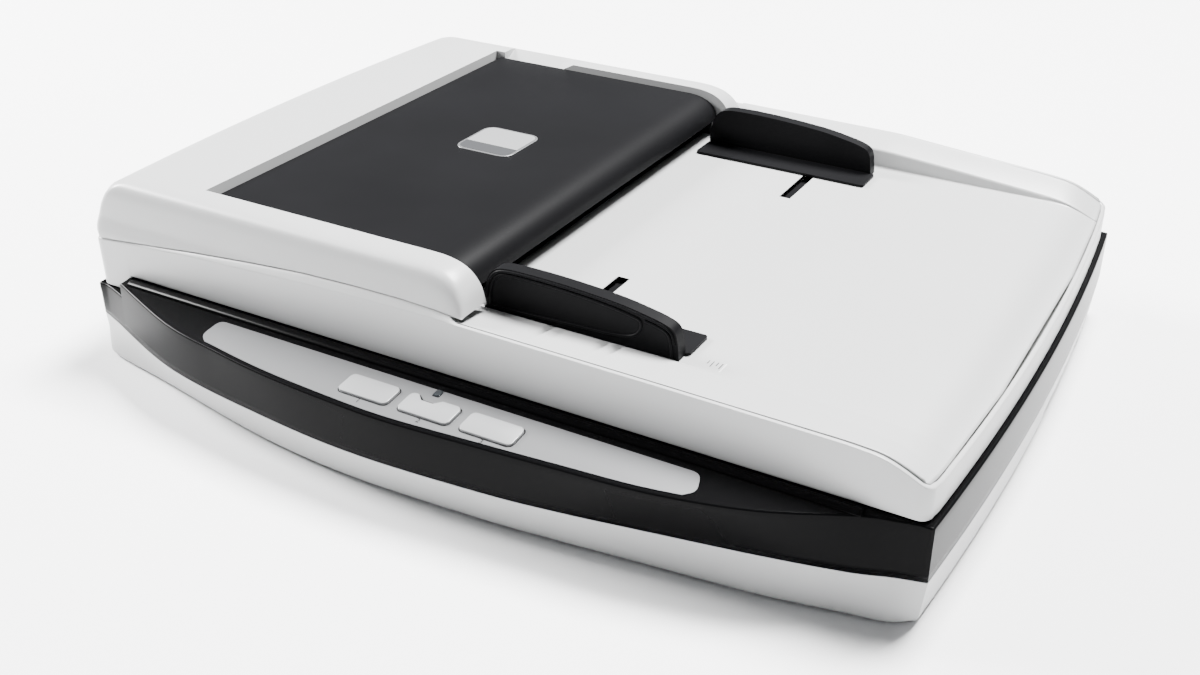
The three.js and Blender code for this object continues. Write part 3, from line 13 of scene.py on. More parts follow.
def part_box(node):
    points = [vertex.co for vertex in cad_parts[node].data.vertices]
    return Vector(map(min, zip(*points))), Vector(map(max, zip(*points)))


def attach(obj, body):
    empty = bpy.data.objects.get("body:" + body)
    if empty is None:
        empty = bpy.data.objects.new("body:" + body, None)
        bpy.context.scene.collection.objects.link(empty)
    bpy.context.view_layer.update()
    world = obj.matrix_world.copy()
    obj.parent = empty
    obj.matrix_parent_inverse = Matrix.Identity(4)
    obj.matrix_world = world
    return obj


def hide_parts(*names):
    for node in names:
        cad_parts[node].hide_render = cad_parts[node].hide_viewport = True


bl_info = {
    "name": "Flatbed scanner with feeder",
    "version": (1, 0, 0),
    "blender": (4, 5, 0),
    "location": "3D View > Sidebar > Scanner",
    "description": "Builds the scanner's outer shells and finishes around its packed frame",
    "category": "Add Mesh",
}

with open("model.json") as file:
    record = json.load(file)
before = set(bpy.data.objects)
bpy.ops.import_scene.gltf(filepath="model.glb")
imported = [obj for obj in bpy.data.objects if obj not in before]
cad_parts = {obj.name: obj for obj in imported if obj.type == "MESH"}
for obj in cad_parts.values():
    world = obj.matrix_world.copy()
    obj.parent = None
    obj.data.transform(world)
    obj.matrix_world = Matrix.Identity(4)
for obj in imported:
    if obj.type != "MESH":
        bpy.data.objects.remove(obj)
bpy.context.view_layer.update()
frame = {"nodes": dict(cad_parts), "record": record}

# Shapes are worked out in millimetres: x from the middle, y behind the lid's front face, z above the table.
# Heights are above the table, and stations and places "from left" are measured from the lid's left face.
MM = 0.001
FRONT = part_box("lid_shell")[0].y
HALF_LID = 210.0
GAP = 0.3

# The distance between two rows or columns on either side of a step
HAIR = 0.02

# How close points are merged and slivers dropped, in metres
DOUBLES = 2e-6
SLIVERS = 1e-7

# Where faces meet at more than this many degrees, an edge is sharp or gets rounded
SHARP = 32
SMALL_SHARP = 40
SMALL_EDGE = 0.2

# The lid: its outline and skirt, and the lip round its top
LID = {"depth": 286.0, "bulge": 6.2, "corner": 5.0, "bottom": 46.7, "skirt": 38.2, "skirt_end": 20.2,
       "skirt_ramp": 1.6, "wall": 2.5, "chamfer": 5.5, "arch_end": 209.0, "arch_ramp": 4.0, "sheet": 2.0}
LIP = {"width": 2.2, "round": 1.4, "groove": 0.25, "ledge": 6.0, "level": 1.5, "groove_depth": 1.0,
       "tray_turn": 2.6, "tray_foot": 4.0, "ledge_edge": 2.4, "ledge_foot": 4.6, "near": 1.0}
LIP_ROUND = (0.3, 0.5, LIP["round"], 0.5, 0.3, 0.4)

# How far to each side a station's kink is softened
EASE = 4.0

# The paper tray: the heights of its lines at stations from the left, and the depth where its slope ends
TRAY_AT = np.array([199.0, 213.5, 306.0, 342.0, 386.0, 400.0, 408.0, 420.0, 431.0])
TRAY_LIP = np.array([72.4, 72.3, 71.4, 70.9, 70.2, 69.2, 66.2, 60.2, 58.6])
TRAY_SLOPE = np.array([26.8, 26.8, 26.4, 22.0, 16.5, 14.5, 13.0, 12.0, 12.0])
TRAY_FLOOR = np.array([67.0, 67.0, 67.0, 66.8, 66.4, 66.0, 64.6, 59.8, 58.4])
RAIL_INNER = np.array([77.2, 77.2, 76.0, 73.2, 69.4, 68.0, 65.6, 60.2, 58.6])
RAIL_OUTER = np.array([80.4, 80.4, 79.7, 76.8, 73.4, 71.8, 68.6, 62.0, 60.0])
TRAY = {"start": 199.0, "fixed_to": 330.0, "end_section": 400.0, "rail": 265.0, "rail_step": 0.8}

# The rounding of the tray's lines from the slope's foot to the rail, the rows close to the lid's corners, and
# the rounding of a corner that stays sharp
TRAY_ROUND = (3.5, 0.4, 0.4, 0.4, 0.4, 1.2, 1.0)
CORNER_STEPS = (0.3, 0.8, 1.5, 2.6)
SHARP_REACH = 0.05

# A guide's slot: half its width, how far it starts outside the guide at rest, and how far it runs inwards
SLOT = {"half": 2.9, "ahead": 5.8, "run": 48.4}

# The arch under the feeder: the lip's height and the seam's height at stations from the left
ARCH_AT = np.array([-9.0, 0.0, 40.0, 67.0, 96.0, 130.0, 158.0, 182.0, 200.0, 213.0])
ARCH_LIP = np.array([61.6, 62.0, 65.6, 67.6, 69.2, 71.0, 72.0, 72.5, 72.6, 72.4])
ARCH_SEAM = np.array([62.2, 62.8, 66.8, 69.4, 71.8, 74.2, 75.0, 75.2, 74.6, 73.6])

# The hinge posts, from the left, with the notches for them in the lid and the wells in the frame
POSTS = np.array([88.0, 332.0])
POST = {"half": 13.6, "front": 272.2, "back": 285.2, "notch": 50.7, "knuckle": 8.3, "knuckle_top": 62.2}

# The feeder's housing, with its walls' lines as (how far in, height) and its nose's as (from left, height)
HOUSING = {"top": 91.8, "bay_left": 58.2, "bay_front": 20.9, "bay_back": 264.9,
           "exit_front": 32.0, "exit_back": 258.0, "exit_top": 69.4, "exit_in": 3.0, "left_bottom": 63.4,
           "left_line": 1.4, "left_seam": 12.0, "seam_band": 0.8, "corner": 4.5, "wall": 2.2,
           "below_seam": 1.0, "columns_from": 60.0}
LEFT_END = np.array([[1.4, 63.4], [0.0, 68.5], [0.8, 74.0], [3.0, 80.5], [6.4, 86.0], [11.5, 90.0],
                     [19.3, 91.8]])
FLANK = np.array([[0.0, 62.0], [0.4, 66.0], [1.7, 70.0], [3.0, 74.0], [4.0, 80.0], [5.4, 86.0], [7.4, 89.8],
                  [10.4, 91.4], [14.0, 91.8]])
NOSE = np.array([[190.0, 91.8], [197.0, 91.3], [204.0, 89.6], [209.6, 86.0], [213.4, 80.4], [215.0, 73.0]])

# The least share of its height that the nose keeps, and the rows from the housing's top into the cover's bay,
# as (share of the way to the bay's edge, how far down)
NOSE_LEAST = 0.02
BAY_ROWS = np.array([[0.5, 0.0], [0.9, 0.0], [1.0, 0.0], [1.0, 7.0], [1.0, 14.0]])

# The finger recess beside the cover's back edge
RECESS = {"left": 64.0, "right": 112.0, "back": 276.5, "bottom": 85.5, "ramp": 12.0, "side": 0.4}

# The feeder's cover and the badge on it
COVER = {"left": 61.3, "front": 21.5, "back": 264.3, "top": 88.6, "thickness": 2.2, "bend": 188.0,
         "lip": 76.2, "run": 18.6, "axis_in": 2.9, "axis_drop": 4.4, "knuckle": 2.6, "knuckle_front": 16.0,
         "knuckle_back": 30.0, "knuckle_width": 14.0, "edge": 0.45}
BADGE = {"at": 137.5, "middle": 147.0, "width": 33.0, "corner": 6.0, "bottom": 88.1, "top": 89.0, "rim": 1.3,
         "strip": 10.5, "sunk": 0.1, "proud": 0.12, "edge": 0.3}

# The base. A bow is a row of (share of the half width to the right, share of the bow's depth to the front).
BASE = {"half": 212.4, "bulge": 6.2, "bow": 37.3, "back": 290.0, "chamfer": 7.0, "front": 0.5, "bottom": 1.0,
        "taper": 1.9, "lean": 0.8, "seam": 20.4, "deck": 45.7, "fall": 4.2, "low": 37.7, "low_end": 20.6,
        "soft": 0.9, "straight": 205.0, "tray_wall": 2.2, "tray_edge": 0.4, "frame_wall": 1.8}
SEAM_BOW = np.array([[-1.0, -0.013], [-0.948, 0.086], [-0.675, 0.646], [-0.373, 0.906], [-0.121, 1.0],
                     [0.16, 0.917], [0.33, 0.799], [0.512, 0.619], [0.709, 0.416], [0.865, 0.22],
                     [0.939, 0.078], [1.0, -0.013]])
FOOT_BOW = np.array([[-1.0, -0.013], [-0.965, 0.147], [-0.749, 0.359], [-0.424, 0.702], [-0.16, 0.818],
                     [0.137, 0.761], [0.313, 0.673], [0.504, 0.552], [0.713, 0.421], [0.874, 0.252],
                     [0.955, 0.161], [1.0, -0.013]])
DECK_BOW = np.array([[-1.0, -0.013], [-0.94, 0.07], [-0.683, 0.59], [-0.513, 0.768], [-0.367, 0.88],
                     [-0.198, 0.946], [-0.047, 0.968], [0.16, 0.9], [0.33, 0.834], [0.518, 0.745],
                     [0.702, 0.523], [0.871, 0.145], [0.939, 0.05], [1.0, -0.013]])

# The hand holds in the tray's sides, and the tray's rows by height above and below their top. The lowest rows
# are tucked in, and the floor ends on a line across the middle.
HAND_HOLD = {"from": 160.0, "to": 244.0, "height": 9.0, "depth": 6.0, "ramp": 9.0, "side": 8.0}
WALL_HEIGHTS = (18.0, 16.0, 13.0)
FOOT_HEIGHTS = (8.0, 6.0, 4.0, 2.6, 1.8, 1.3, 1.05, 1.0)
FOOT_TUCK = (0.05, 0.3, 0.7, 1.2, 1.9)
FLOOR_LINE = {"half": 120.0, "at": 140.0}

# The sockets and the switch in the back, as (from left, half the width), and their heights
SOCKETS = np.array([[392.0, 6.0], [366.0, 6.0], [56.0, 7.0]])
SOCKET_Z = (6.0, 16.0)

# The windows of both glasses in the frame's top
GLASS = {"left": 98.0, "right": 402.0, "front": 27.0, "back": 253.0, "feeder_left": 70.0,
         "feeder_right": 91.0}

# The rib behind the panel, with its sloping end as distances along it and shares of its height
RIB = {"left": 24.0, "right": 396.0, "front": 5.6, "back": 1.0, "height": 1.0, "sunk": 0.2, "fullness": 0.8,
       "wall": 0.4, "sharp": 60}
RIB_END = np.array([0.0, 0.6, 1.5])
RIB_RISE = np.array([0.0, 0.75, 1.0])

# The keys and their panel, where depths are in front of the lid's front face
KEYS = (183.5, 214.5, 245.5)
KEY = {"middle": 22.3, "label": 30.25, "size": 3.5, "width": 25.5, "depth": 11.8, "corner": 2.4, "slot": 0.55,
       "notch": 3.0, "light": 211.4, "gap_from": 0.1, "gap_to": 0.65, "ink": 0.03, "edge": 0.6}
KEY_BAY = {"left": 168.0, "right": 261.0, "front": 29.0, "back": 14.0}
PANEL = {"left": 88.0, "right": 333.0, "front": 2.4, "back": 9.6, "tip": 21.6, "slant": 3.4, "corner": 3.6,
         "thickness": 1.2, "stand": 0.35, "left_turn": 1.4, "right_turn": 1.0, "tip_rise": 2.0, "edge": 0.3}
LIGHT_HOLE = {"half": 1.9, "front": 4.5, "back": 0.4, "corner": 0.8}

# The paper guides: the wing's outline, the raised line in it and the one at its tip, as (from left, height)
GUIDE = {"front": 33.4, "back": 249.4, "thickness": 6.2, "left": 209.5, "right": 304.0, "foot": 67.4,
         "flange": 17.0, "flange_thickness": 1.3, "flange_past": 2.0, "flange_corner": 1.5, "neck_depth": 5.4,
         "neck_width": 5.0, "neck_corner": 0.5, "overlap": 0.6, "travel": 48.0, "rim": 0.62, "rim_sunk": 0.1,
         "neck_rise": 1.0, "edge": 0.9}
WING = np.array([[209.5, 67.4], [209.9, 74.0], [211.2, 80.5], [213.8, 85.2], [218.4, 88.0], [228.0, 88.9],
                 [249.0, 88.6], [274.0, 86.9], [289.0, 84.6], [297.5, 82.6], [301.6, 80.2], [303.2, 75.5],
                 [304.0, 67.4]])
INSET = np.array([[213.2, 69.4], [213.4, 76.0], [215.4, 82.2], [220.0, 85.4], [230.0, 86.2], [250.0, 85.9],
                  [270.0, 84.4], [283.0, 82.4], [286.4, 80.8], [286.0, 76.8], [282.0, 73.2], [272.0, 71.6],
                  [250.0, 70.6], [228.0, 69.6]])
TIP = np.array([[288.4, 81.9], [294.0, 80.8], [298.4, 79.0], [300.2, 75.0], [300.8, 68.4]])
WING_EDGE = {"left_in": 1.2, "right_in": -1.4, "down": -1.1}
RACK = {"module": 1.5, "teeth": 12, "width": 6.0, "thickness": 3.0, "at": 262.0, "reach": 30.0, "ahead": 3,
        "bottom": 61.2, "root": 1.1, "tip": 0.72, "foot_share": 0.275, "tip_share": 0.1}

# The strip with ticks beside the front guide
STRIP = {"from": 307.0, "to": 322.0, "front": 28.0, "back": 35.5, "ticks": 7, "long": 4.6, "short": 2.8,
         "corner": 0.6, "thickness": 0.1, "margin": 1.6, "edge": 0.8, "tick_half": 0.18, "tick_corner": 0.05,
         "ink": 0.04}

# The document pad, with its soft edge as (how far in, share of its height)
PAD = {"left": 100.0, "right": 411.0, "front": 6.5, "back": 264.0, "bottom": 46.1, "top": 50.3, "corner": 6.0}
PAD_EDGE = np.array([[60.0, 0.0], [3.0, 0.0], [1.2, 0.06], [0.45, 0.2], [0.0, 0.42], [0.0, 0.62],
                     [0.45, 0.85], [1.2, 0.97], [3.0, 1.0], [60.0, 1.0]])

# The stage, in metres: each light's place, size and share of the power that is set, the camera and the floor
LIGHTS = {
    "key_light": {"place": (-1.65, -0.15, 0.95), "size": 0.55, "share": 0.62},
    "top_light": {"place": (0.3, 0.95, 2.15), "size": 0.85, "share": 1.6},
    "back_light": {"place": (0.2, 1.9, 1.2), "size": 1.2, "share": 0.02},
}
CAMERA = {"lens": 41.1, "sensor": 36.0, "shift_x": -0.0266, "shift_y": -0.01075, "azimuth": 28.565,
          "elevation": 28.967, "roll": -0.543, "x": 0.30558, "in_front": 0.40130, "z": 0.34854,
          "near": 0.01, "far": 50.0}
STAGE = {"half": 6.0, "dark": (0.86, 0.86, 0.865, 1), "pale": (0.9, 0.9, 0.9, 1), "sky": (0.95, 0.97, 1.0, 1),
         "sky_strength": 0.28}


def from_left(distance):
    """The x of a distance from the lid's left face."""
    return distance - HALF_LID


def bulge_at(y, bulge, depth):
    """How far a side stands out at a depth: the bulge times one less the squared share of the way from the
    middle."""
    share = np.clip(np.abs(y - depth / 2) / (depth / 2), 0, 1)
    return bulge * (1 - share * share)


def smooth(value):
    """A soft step from 0 to 1: three times the square less twice the cube."""
    value = np.clip(value, 0, 1)
    return value * value * (3 - 2 * value)


def spline(points, count):
    """A Catmull-Rom curve through the points, with count equal steps, as one array."""
    padded = np.vstack([2 * points[0] - points[1], points, 2 * points[-1] - points[-2]])
    at = np.linspace(0, len(points) - 1, count)
    step = np.minimum(at.astype(int), len(points) - 2)
    t = (at - step)[:, None]
    a, b, c, d = (padded[step + k] for k in range(4))
    first = 2 * b + (c - a) * t
    second = (2 * a - 5 * b + 4 * c - d) * t ** 2
    third = (3 * b - a - 3 * c + d) * t ** 3
    return 0.5 * (first + second + third)


def rounded(corners, reach, steps):
    """A corner line (..., corners, 2) whose inner corners become arcs: each is a quadratic curve between the
    two points at its reach along its edges."""
    before, here, after = corners[..., :-2, :], corners[..., 1:-1, :], corners[..., 2:, :]
    reach = np.asarray(reach)[:, None]
    inward_edge = before - here
    outward_edge = after - here
    length_in = np.linalg.norm(inward_edge, axis=-1, keepdims=True) + 1e-9
    length_out = np.linalg.norm(outward_edge, axis=-1, keepdims=True) + 1e-9
    first = here + inward_edge * np.minimum(reach / length_in, 0.49)
    last = here + outward_edge * np.minimum(reach / length_out, 0.49)
    t = np.linspace(0, 1, steps)[:, None]
    first, here, last = first[..., None, :], here[..., None, :], last[..., None, :]
    arcs = (1 - t) ** 2 * first + 2 * t * (1 - t) * here + t ** 2 * last
    arcs = arcs.reshape(*arcs.shape[:-3], -1, 2)
    return np.concatenate([corners[..., :1, :], arcs, corners[..., -1:, :]], axis=-2)


def placed(points):
    """Millimetres in the shapes' own frame as metres in the row's frame."""
    return (points + np.array([0, FRONT / MM, 0])) * MM


def grid_faces(rows, columns, wrap=False, keep=None, start=0):
    """The four-sided faces between neighbouring rows and columns of a grid of points."""
    index = np.arange(rows * columns).reshape(rows, columns) + start
    if wrap:
        index = np.concatenate([index, index[:, :1]], axis=1)
    faces = np.stack([index[:-1, :-1], index[:-1, 1:], index[1:, 1:], index[1:, :-1]], axis=-1)
    return faces[keep] if keep is not None else faces.reshape(-1, 4)


def new_mesh(name, points, faces, flip=False, closed=False):
    """A mesh from points in millimetres, its doubles merged. A closed one gets its faces turned outwards."""
    mesh = bpy.data.meshes.new(name)
    faces = faces[:, ::-1] if flip else faces
    mesh.from_pydata(placed(points.reshape(-1, 3)).tolist(), [], faces.tolist())
    work = bmesh.new()
    work.from_mesh(mesh)
    bmesh.ops.remove_doubles(work, verts=work.verts, dist=DOUBLES)
    bmesh.ops.dissolve_degenerate(work, edges=work.edges, dist=SLIVERS)
    loose = [vert for vert in work.verts if not vert.link_faces]
    bmesh.ops.delete(work, geom=loose, context="VERTS")
    if closed:
        bmesh.ops.recalc_face_normals(work, faces=work.faces)
    work.to_mesh(mesh)
    work.free()
    return mesh


def add_piece(name, mesh, material, body, nodes=(), wall=0.0, edge=0.0, sharp=SHARP, even=True):
    """Puts a mesh in the scene: its material, a wall under it, rounded edges, its body and the nodes that it
    replaces."""
    piece = bpy.data.objects.new(name, mesh)
    bpy.context.collection.objects.link(piece)
    mesh.materials.append(finish(material))
    mesh.polygons.foreach_set("use_smooth", np.ones(len(mesh.polygons), bool))
    mesh.set_sharp_from_angle(angle=np.radians(sharp))
    if wall:
        shell = piece.modifiers.new("Wall", "SOLIDIFY")
        shell.thickness = wall * MM
        shell.offset = -1
        shell.use_even_offset = even
        shell.thickness_clamp = 1
    if edge:
        round_edges(piece, edge, sharp)
    if nodes:
        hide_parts(*nodes)
    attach(piece, body)
    return piece


def round_edges(piece, edge, sharp):
    """Small rounded edges, where faces meet at more than an angle."""
    bevel = piece.modifiers.new("Edges", "BEVEL")
    bevel.width = edge * MM
    bevel.segments = 3
    bevel.limit_method = "ANGLE"
    bevel.angle_limit = np.radians(sharp)
    bevel.harden_normals = True
    bevel.use_clamp_overlap = True


def tube(path, radius, sides=12):
    """A round tube along a path: at each point a circle across the path's direction, closed at both ends."""
    along = np.gradient(path, axis=0)
    along /= np.linalg.norm(along, axis=1, keepdims=True)
    side = np.broadcast_to(np.array([0.0, 1.0, 0.0]), along.shape)
    up = np.cross(along, side)
    turn = np.linspace(0, 2 * np.pi, sides, endpoint=False)
    ring = np.cos(turn)[None, :, None] * side[:, None] + np.sin(turn)[None, :, None] * up[:, None]
    first, last = (np.broadcast_to(end, (1, sides, 3)) for end in (path[0], path[-1]))
    points = np.concatenate([first, path[:, None] + ring * radius, last])
    return points, grid_faces(*points.shape[:2], wrap=True)


def level_ring(flat, z):
    """Points seen from above, all at one height."""
    return np.column_stack([flat, np.full(len(flat), z)])


def slab(outline, low, high):
    """A closed plate: the outline at the low and the high height, with both ends drawn together on its
    middle."""
    middle = outline.mean(axis=0)
    inner = middle + (outline - middle) * 0.5
    centre = np.broadcast_to(middle, outline.shape)
    bottom = [level_ring(line, low) for line in (centre, inner, outline)]
    top = [level_ring(line, high) for line in (outline, inner, centre)]
    points = np.stack([*bottom, *top])
    return points, grid_faces(*points.shape[:2], wrap=True)


def round_rect(x, y, radius, steps=8):
    """A rectangle's outline with round corners, anticlockwise."""
    turn = np.linspace(0, np.pi / 2, steps)
    near_x, far_x = x[0] + radius, x[1] - radius
    near_y, far_y = y[0] + radius, y[1] - radius
    centres = np.array([[far_x, far_y], [near_x, far_y], [near_x, near_y], [far_x, near_y]])
    angles = turn[None] + np.arange(4)[:, None] * np.pi / 2
    arcs = centres[:, None] + radius * np.stack([np.cos(angles), np.sin(angles)], axis=-1)
    return arcs.reshape(-1, 2)


# The finishes

# What a finish is unless its recipe says otherwise, with patches and grain as noise scales, depth in metres
PLAIN = {"metal": 0.0, "ior": 1.5, "coat": 0.0, "clear": 0.0, "spread": 0.03, "patches": 14.0,
         "grain": 1400.0, "stretch": (1, 1, 1), "rough_spread": 0.15, "bump": 0.1, "depth": 0.00005}
COAT_ROUGHNESS = 0.08
PATCH_EDGES = (0.35, 0.65)
FINISHES = {}


def mixed_noise(tree, scale, detail, stretch=(1, 1, 1)):
    """A noise pattern on the object's own coordinates."""
    nodes, links = tree.nodes, tree.links
    place = nodes.new("ShaderNodeTexCoord")
    mapping = nodes.new("ShaderNodeMapping")
    mapping.inputs["Scale"].default_value = stretch
    noise = nodes.new("ShaderNodeTexNoise")
    noise.inputs["Scale"].default_value = scale
    noise.inputs["Detail"].default_value = detail
    links.new(place.outputs["Object"], mapping.inputs["Vector"])
    links.new(mapping.outputs["Vector"], noise.inputs["Vector"])
    return noise


def tinted(colour, factor):
    """A colour made lighter or darker by a factor."""
    return (*[min(1.0, channel * factor) for channel in colour[:3]], 1.0)


def finish(name):
    """The material of a finish, made once: soft patches of two near shades, and a fine grain in its roughness
    and bumps."""
    if name in FINISHES:
        return FINISHES[name]
    recipe = {**PLAIN, **RECIPES[name]}
    material = bpy.data.materials.new("finish_" + name)
    material.use_nodes = True
    tree = material.node_tree
    nodes, links = tree.nodes, tree.links
    shader = nodes["Principled BSDF"]
    colour = recipe["colour"]
    if isinstance(colour, str):
        colour = tuple(getattr(bpy.context.scene.scanner_look, colour))
    shader.inputs["Metallic"].default_value = recipe["metal"]
    shader.inputs["IOR"].default_value = recipe["ior"]
    shader.inputs["Coat Weight"].default_value = recipe["coat"]
    shader.inputs["Coat Roughness"].default_value = COAT_ROUGHNESS
    shader.inputs["Transmission Weight"].default_value = recipe["clear"]
    patches = mixed_noise(tree, recipe["patches"], 3)
    ramp = nodes.new("ShaderNodeValToRGB")
    dark, pale = ramp.color_ramp.elements
    dark.position, pale.position = PATCH_EDGES
    dark.color = tinted(colour, 1 - recipe["spread"])
    pale.color = tinted(colour, 1 + recipe["spread"])
    links.new(patches.outputs["Fac"], ramp.inputs["Fac"])
    links.new(ramp.outputs["Color"], shader.inputs["Base Color"])
    grain = mixed_noise(tree, recipe["grain"], 2, recipe["stretch"])
    rough = nodes.new("ShaderNodeMapRange")
    rough.inputs["To Min"].default_value = recipe["rough"] * (1 - recipe["rough_spread"])
    rough.inputs["To Max"].default_value = recipe["rough"] * (1 + recipe["rough_spread"])
    links.new(grain.outputs["Fac"], rough.inputs["Value"])
    links.new(rough.outputs["Result"], shader.inputs["Roughness"])
    bump = nodes.new("ShaderNodeBump")
    bump.inputs["Strength"].default_value = recipe["bump"]
    bump.inputs["Distance"].default_value = recipe["depth"]
    links.new(grain.outputs["Fac"], bump.inputs["Height"])
    links.new(bump.outputs["Normal"], shader.inputs["Normal"])
    FINISHES[name] = material
    return material


# A colour that is a name is read from the sidebar's settings
RECIPES = {
    "badge_grey": {"colour": (0.07, 0.072, 0.076), "metal": 0.5, "rough": 0.35, "grain": 2500.0},
    "lid_white": {"colour": "shell_colour", "rough": 0.36, "spread": 0.012, "bump": 0.12, "grain": 1800.0},
    "tray_white": {"colour": "shell_colour", "rough": 0.38, "spread": 0.012, "bump": 0.12, "grain": 1800.0},
    "band_black": {"colour": "band_colour", "rough": 0.24, "rough_spread": 0.12, "bump": 0.015, "ior": 1.1,
                   "grain": 900.0},
    "cover_black": {"colour": "cover_colour", "rough": 0.4, "bump": 0.3, "ior": 1.12, "grain": 2200.0,
                    "spread": 0.08},
    "panel_silver": {"colour": "panel_colour", "metal": 0.6, "rough": 0.34, "bump": 0.08, "grain": 3000.0},
    "key_grey": {"colour": (0.27, 0.273, 0.277), "rough": 0.3, "bump": 0.06, "metal": 0.2},
    "lens_dark": {"colour": (0.01, 0.013, 0.016), "rough": 0.08, "bump": 0.0, "coat": 1.0},
    "clear_glass": {"colour": (0.86, 0.95, 0.92), "rough": 0.02, "bump": 0.0, "clear": 1.0, "spread": 0.01},
    "pad_white": {"colour": (0.6, 0.6, 0.595), "rough": 0.8, "bump": 0.4, "grain": 900.0, "depth": 0.0001},
    "inner_black": {"colour": (0.006, 0.006, 0.0065), "rough": 0.5, "ior": 1.2, "bump": 0.3, "grain": 1500.0,
                    "spread": 0.08},
    "bright_steel": {"colour": (0.56, 0.57, 0.58), "metal": 1.0, "rough": 0.26, "bump": 0.12, "grain": 500.0,
                     "stretch": (0.08, 1, 6)},
    "black_rubber": {"colour": (0.018, 0.018, 0.019), "rough": 0.75, "bump": 0.5, "grain": 1200.0,
                     "spread": 0.1},
    "roller_rubber": {"colour": (0.15, 0.155, 0.165), "rough": 0.8, "bump": 0.8, "grain": 420.0,
                      "spread": 0.1, "stretch": (1, 0.06, 1), "depth": 0.0002},
    "board_green": {"colour": (0.012, 0.085, 0.035), "rough": 0.35, "bump": 0.4, "grain": 160.0,
                    "spread": 0.35, "patches": 90.0},
    "gear_white": {"colour": (0.78, 0.76, 0.7), "rough": 0.45, "bump": 0.1},
}


# The lid

def eased(at, stations, values):
    """A line through stations with its kinks softened: the mean of the straight lines' values close by."""
    offsets = np.linspace(-EASE, EASE, 9)
    return np.mean([np.interp(at + offset, stations, values) for offset in offsets], axis=0)


def tray_corners(x):
    """The tray's section at each x: lip, slope, floor with the lines that end the guide slots, and rail."""
    at = x + HALF_LID
    rows = (TRAY_LIP, TRAY_SLOPE, TRAY_FLOOR, RAIL_INNER, RAIL_OUTER)
    lip, slope, floor, inner, outer = (eased(at, TRAY_AT, row) for row in rows)
    edge = LIP["width"] + LIP["groove"]
    level = LIP["level"]
    lip_line = lip - (lip - floor) * (edge - level) / (slope - level)
    back = LID["depth"] - edge
    rail = TRAY["rail"] + TRAY["rail_step"]
    front_rows = [(np.full_like(at, edge + step), lip_line + (floor - lip_line) * step / (slope - edge))
                  for step in (0, *CORNER_STEPS)]
    back_rows = [(np.full_like(at, back - step), outer + (inner - outer) * step / (back - rail))
                 for step in (*CORNER_STEPS[::-1], 0)]
    stops = [(np.full_like(at, stop), floor) for stop in (*slot_ends(False), *slot_ends(True))]
    foot = (np.full_like(at, TRAY["rail"]), floor)
    head = (np.full_like(at, rail), inner)
    rows = [*front_rows, (slope, floor), *stops, foot, head, *back_rows]
    return np.stack([np.stack(row, axis=-1) for row in rows], axis=-2)


def tray_height(x, y):
    """The height of the tray's section over a point: its corner line read at y."""
    corners = tray_corners(x)
    start = corners[..., :1, :] * [0, 1]
    line = np.concatenate([start, corners], axis=-2)
    before = line[..., :-1, :]
    after = line[..., 1:, :]
    width = np.maximum(after[..., 0] - before[..., 0], 1e-6)
    inside = np.clip((y[..., None] - before[..., 0]) / width, 0, 1)
    steps = (after[..., 1] - before[..., 1]) * inside
    return line[..., 0, 1] + steps.sum(axis=-1)


def lid_end(y, inset):
    """The x of the lid's right face at each depth: half the width, the bulge and the round corner, less an
    inset."""
    corner = LID["corner"]
    radius = corner - inset
    near = np.clip(corner - np.minimum(y, LID["depth"] - y), 0, radius)
    return HALF_LID - corner + bulge_at(y, LID["bulge"], LID["depth"]) + np.sqrt(radius ** 2 - near ** 2)


def tray_surface():
    """The paper tray: rows follow the section's lines, columns run from the feeder to the lid's bulged right
    end. The faces of the two guide slots are left out."""
    stations = np.concatenate([np.linspace(TRAY["start"], TRAY["fixed_to"], 60), slot_edges()])
    fixed = np.unique(np.round(from_left(stations), 4))
    share = np.linspace(0, 1, 70)[1:]
    near_corner = [SHARP_REACH] * len(CORNER_STEPS)
    reaches = [*near_corner, *TRAY_ROUND, *near_corner]

    def section(x):
        return rounded(tray_corners(x), reaches, 5)

    count = section(fixed[:1]).shape[-2]
    first = np.broadcast_to(fixed[:, None], (len(fixed), count))
    y_end = section(np.array([from_left(TRAY["end_section"])]))[0, :, 0]
    last = lid_end(y_end, LIP["width"] + LIP["groove"])
    spread = fixed[-1] + share[:, None] * (last[None] - fixed[-1])
    x = np.concatenate([first, spread])
    every = section(x)
    pick = np.arange(count)
    yz = every[:, pick, pick, :]
    points = np.stack([x, yz[..., 0], yz[..., 1]], axis=-1)
    middle = (points[:-1, :-1] + points[1:, 1:]) / 2
    gone = in_slot(middle, False) | in_slot(middle, True)
    return points, grid_faces(*points.shape[:2], keep=~gone)


def slot_ends(to_back):
    """The depths where a guide's slot begins and ends."""
    if to_back:
        return GUIDE["back"] - SLOT["run"], GUIDE["back"] + SLOT["ahead"]
    return GUIDE["front"] - SLOT["ahead"], GUIDE["front"] + SLOT["run"]


def in_slot(points, to_back):
    """Which points lie over a guide's slot."""
    start, end = slot_ends(to_back)
    across = np.abs(points[..., 0] - neck_at(to_back)) < SLOT["half"]
    return across & (points[..., 1] > start) & (points[..., 1] < end)


def neck_at(to_back):
    """The x of a guide's neck, beside the pinion."""
    side = 1 if to_back else -1
    pitch_radius = RACK["module"] * RACK["teeth"] / 2
    return from_left(RACK["at"]) + side * (pitch_radius + RACK["module"] * RACK["root"] + RACK["width"] / 2)


def slot_edges():
    """Where the sides of both guide slots lie, from the left."""
    necks = np.array([neck_at(False), neck_at(True)]) + HALF_LID
    return (necks[:, None] + np.array([-SLOT["half"], SLOT["half"]])[None]).ravel()


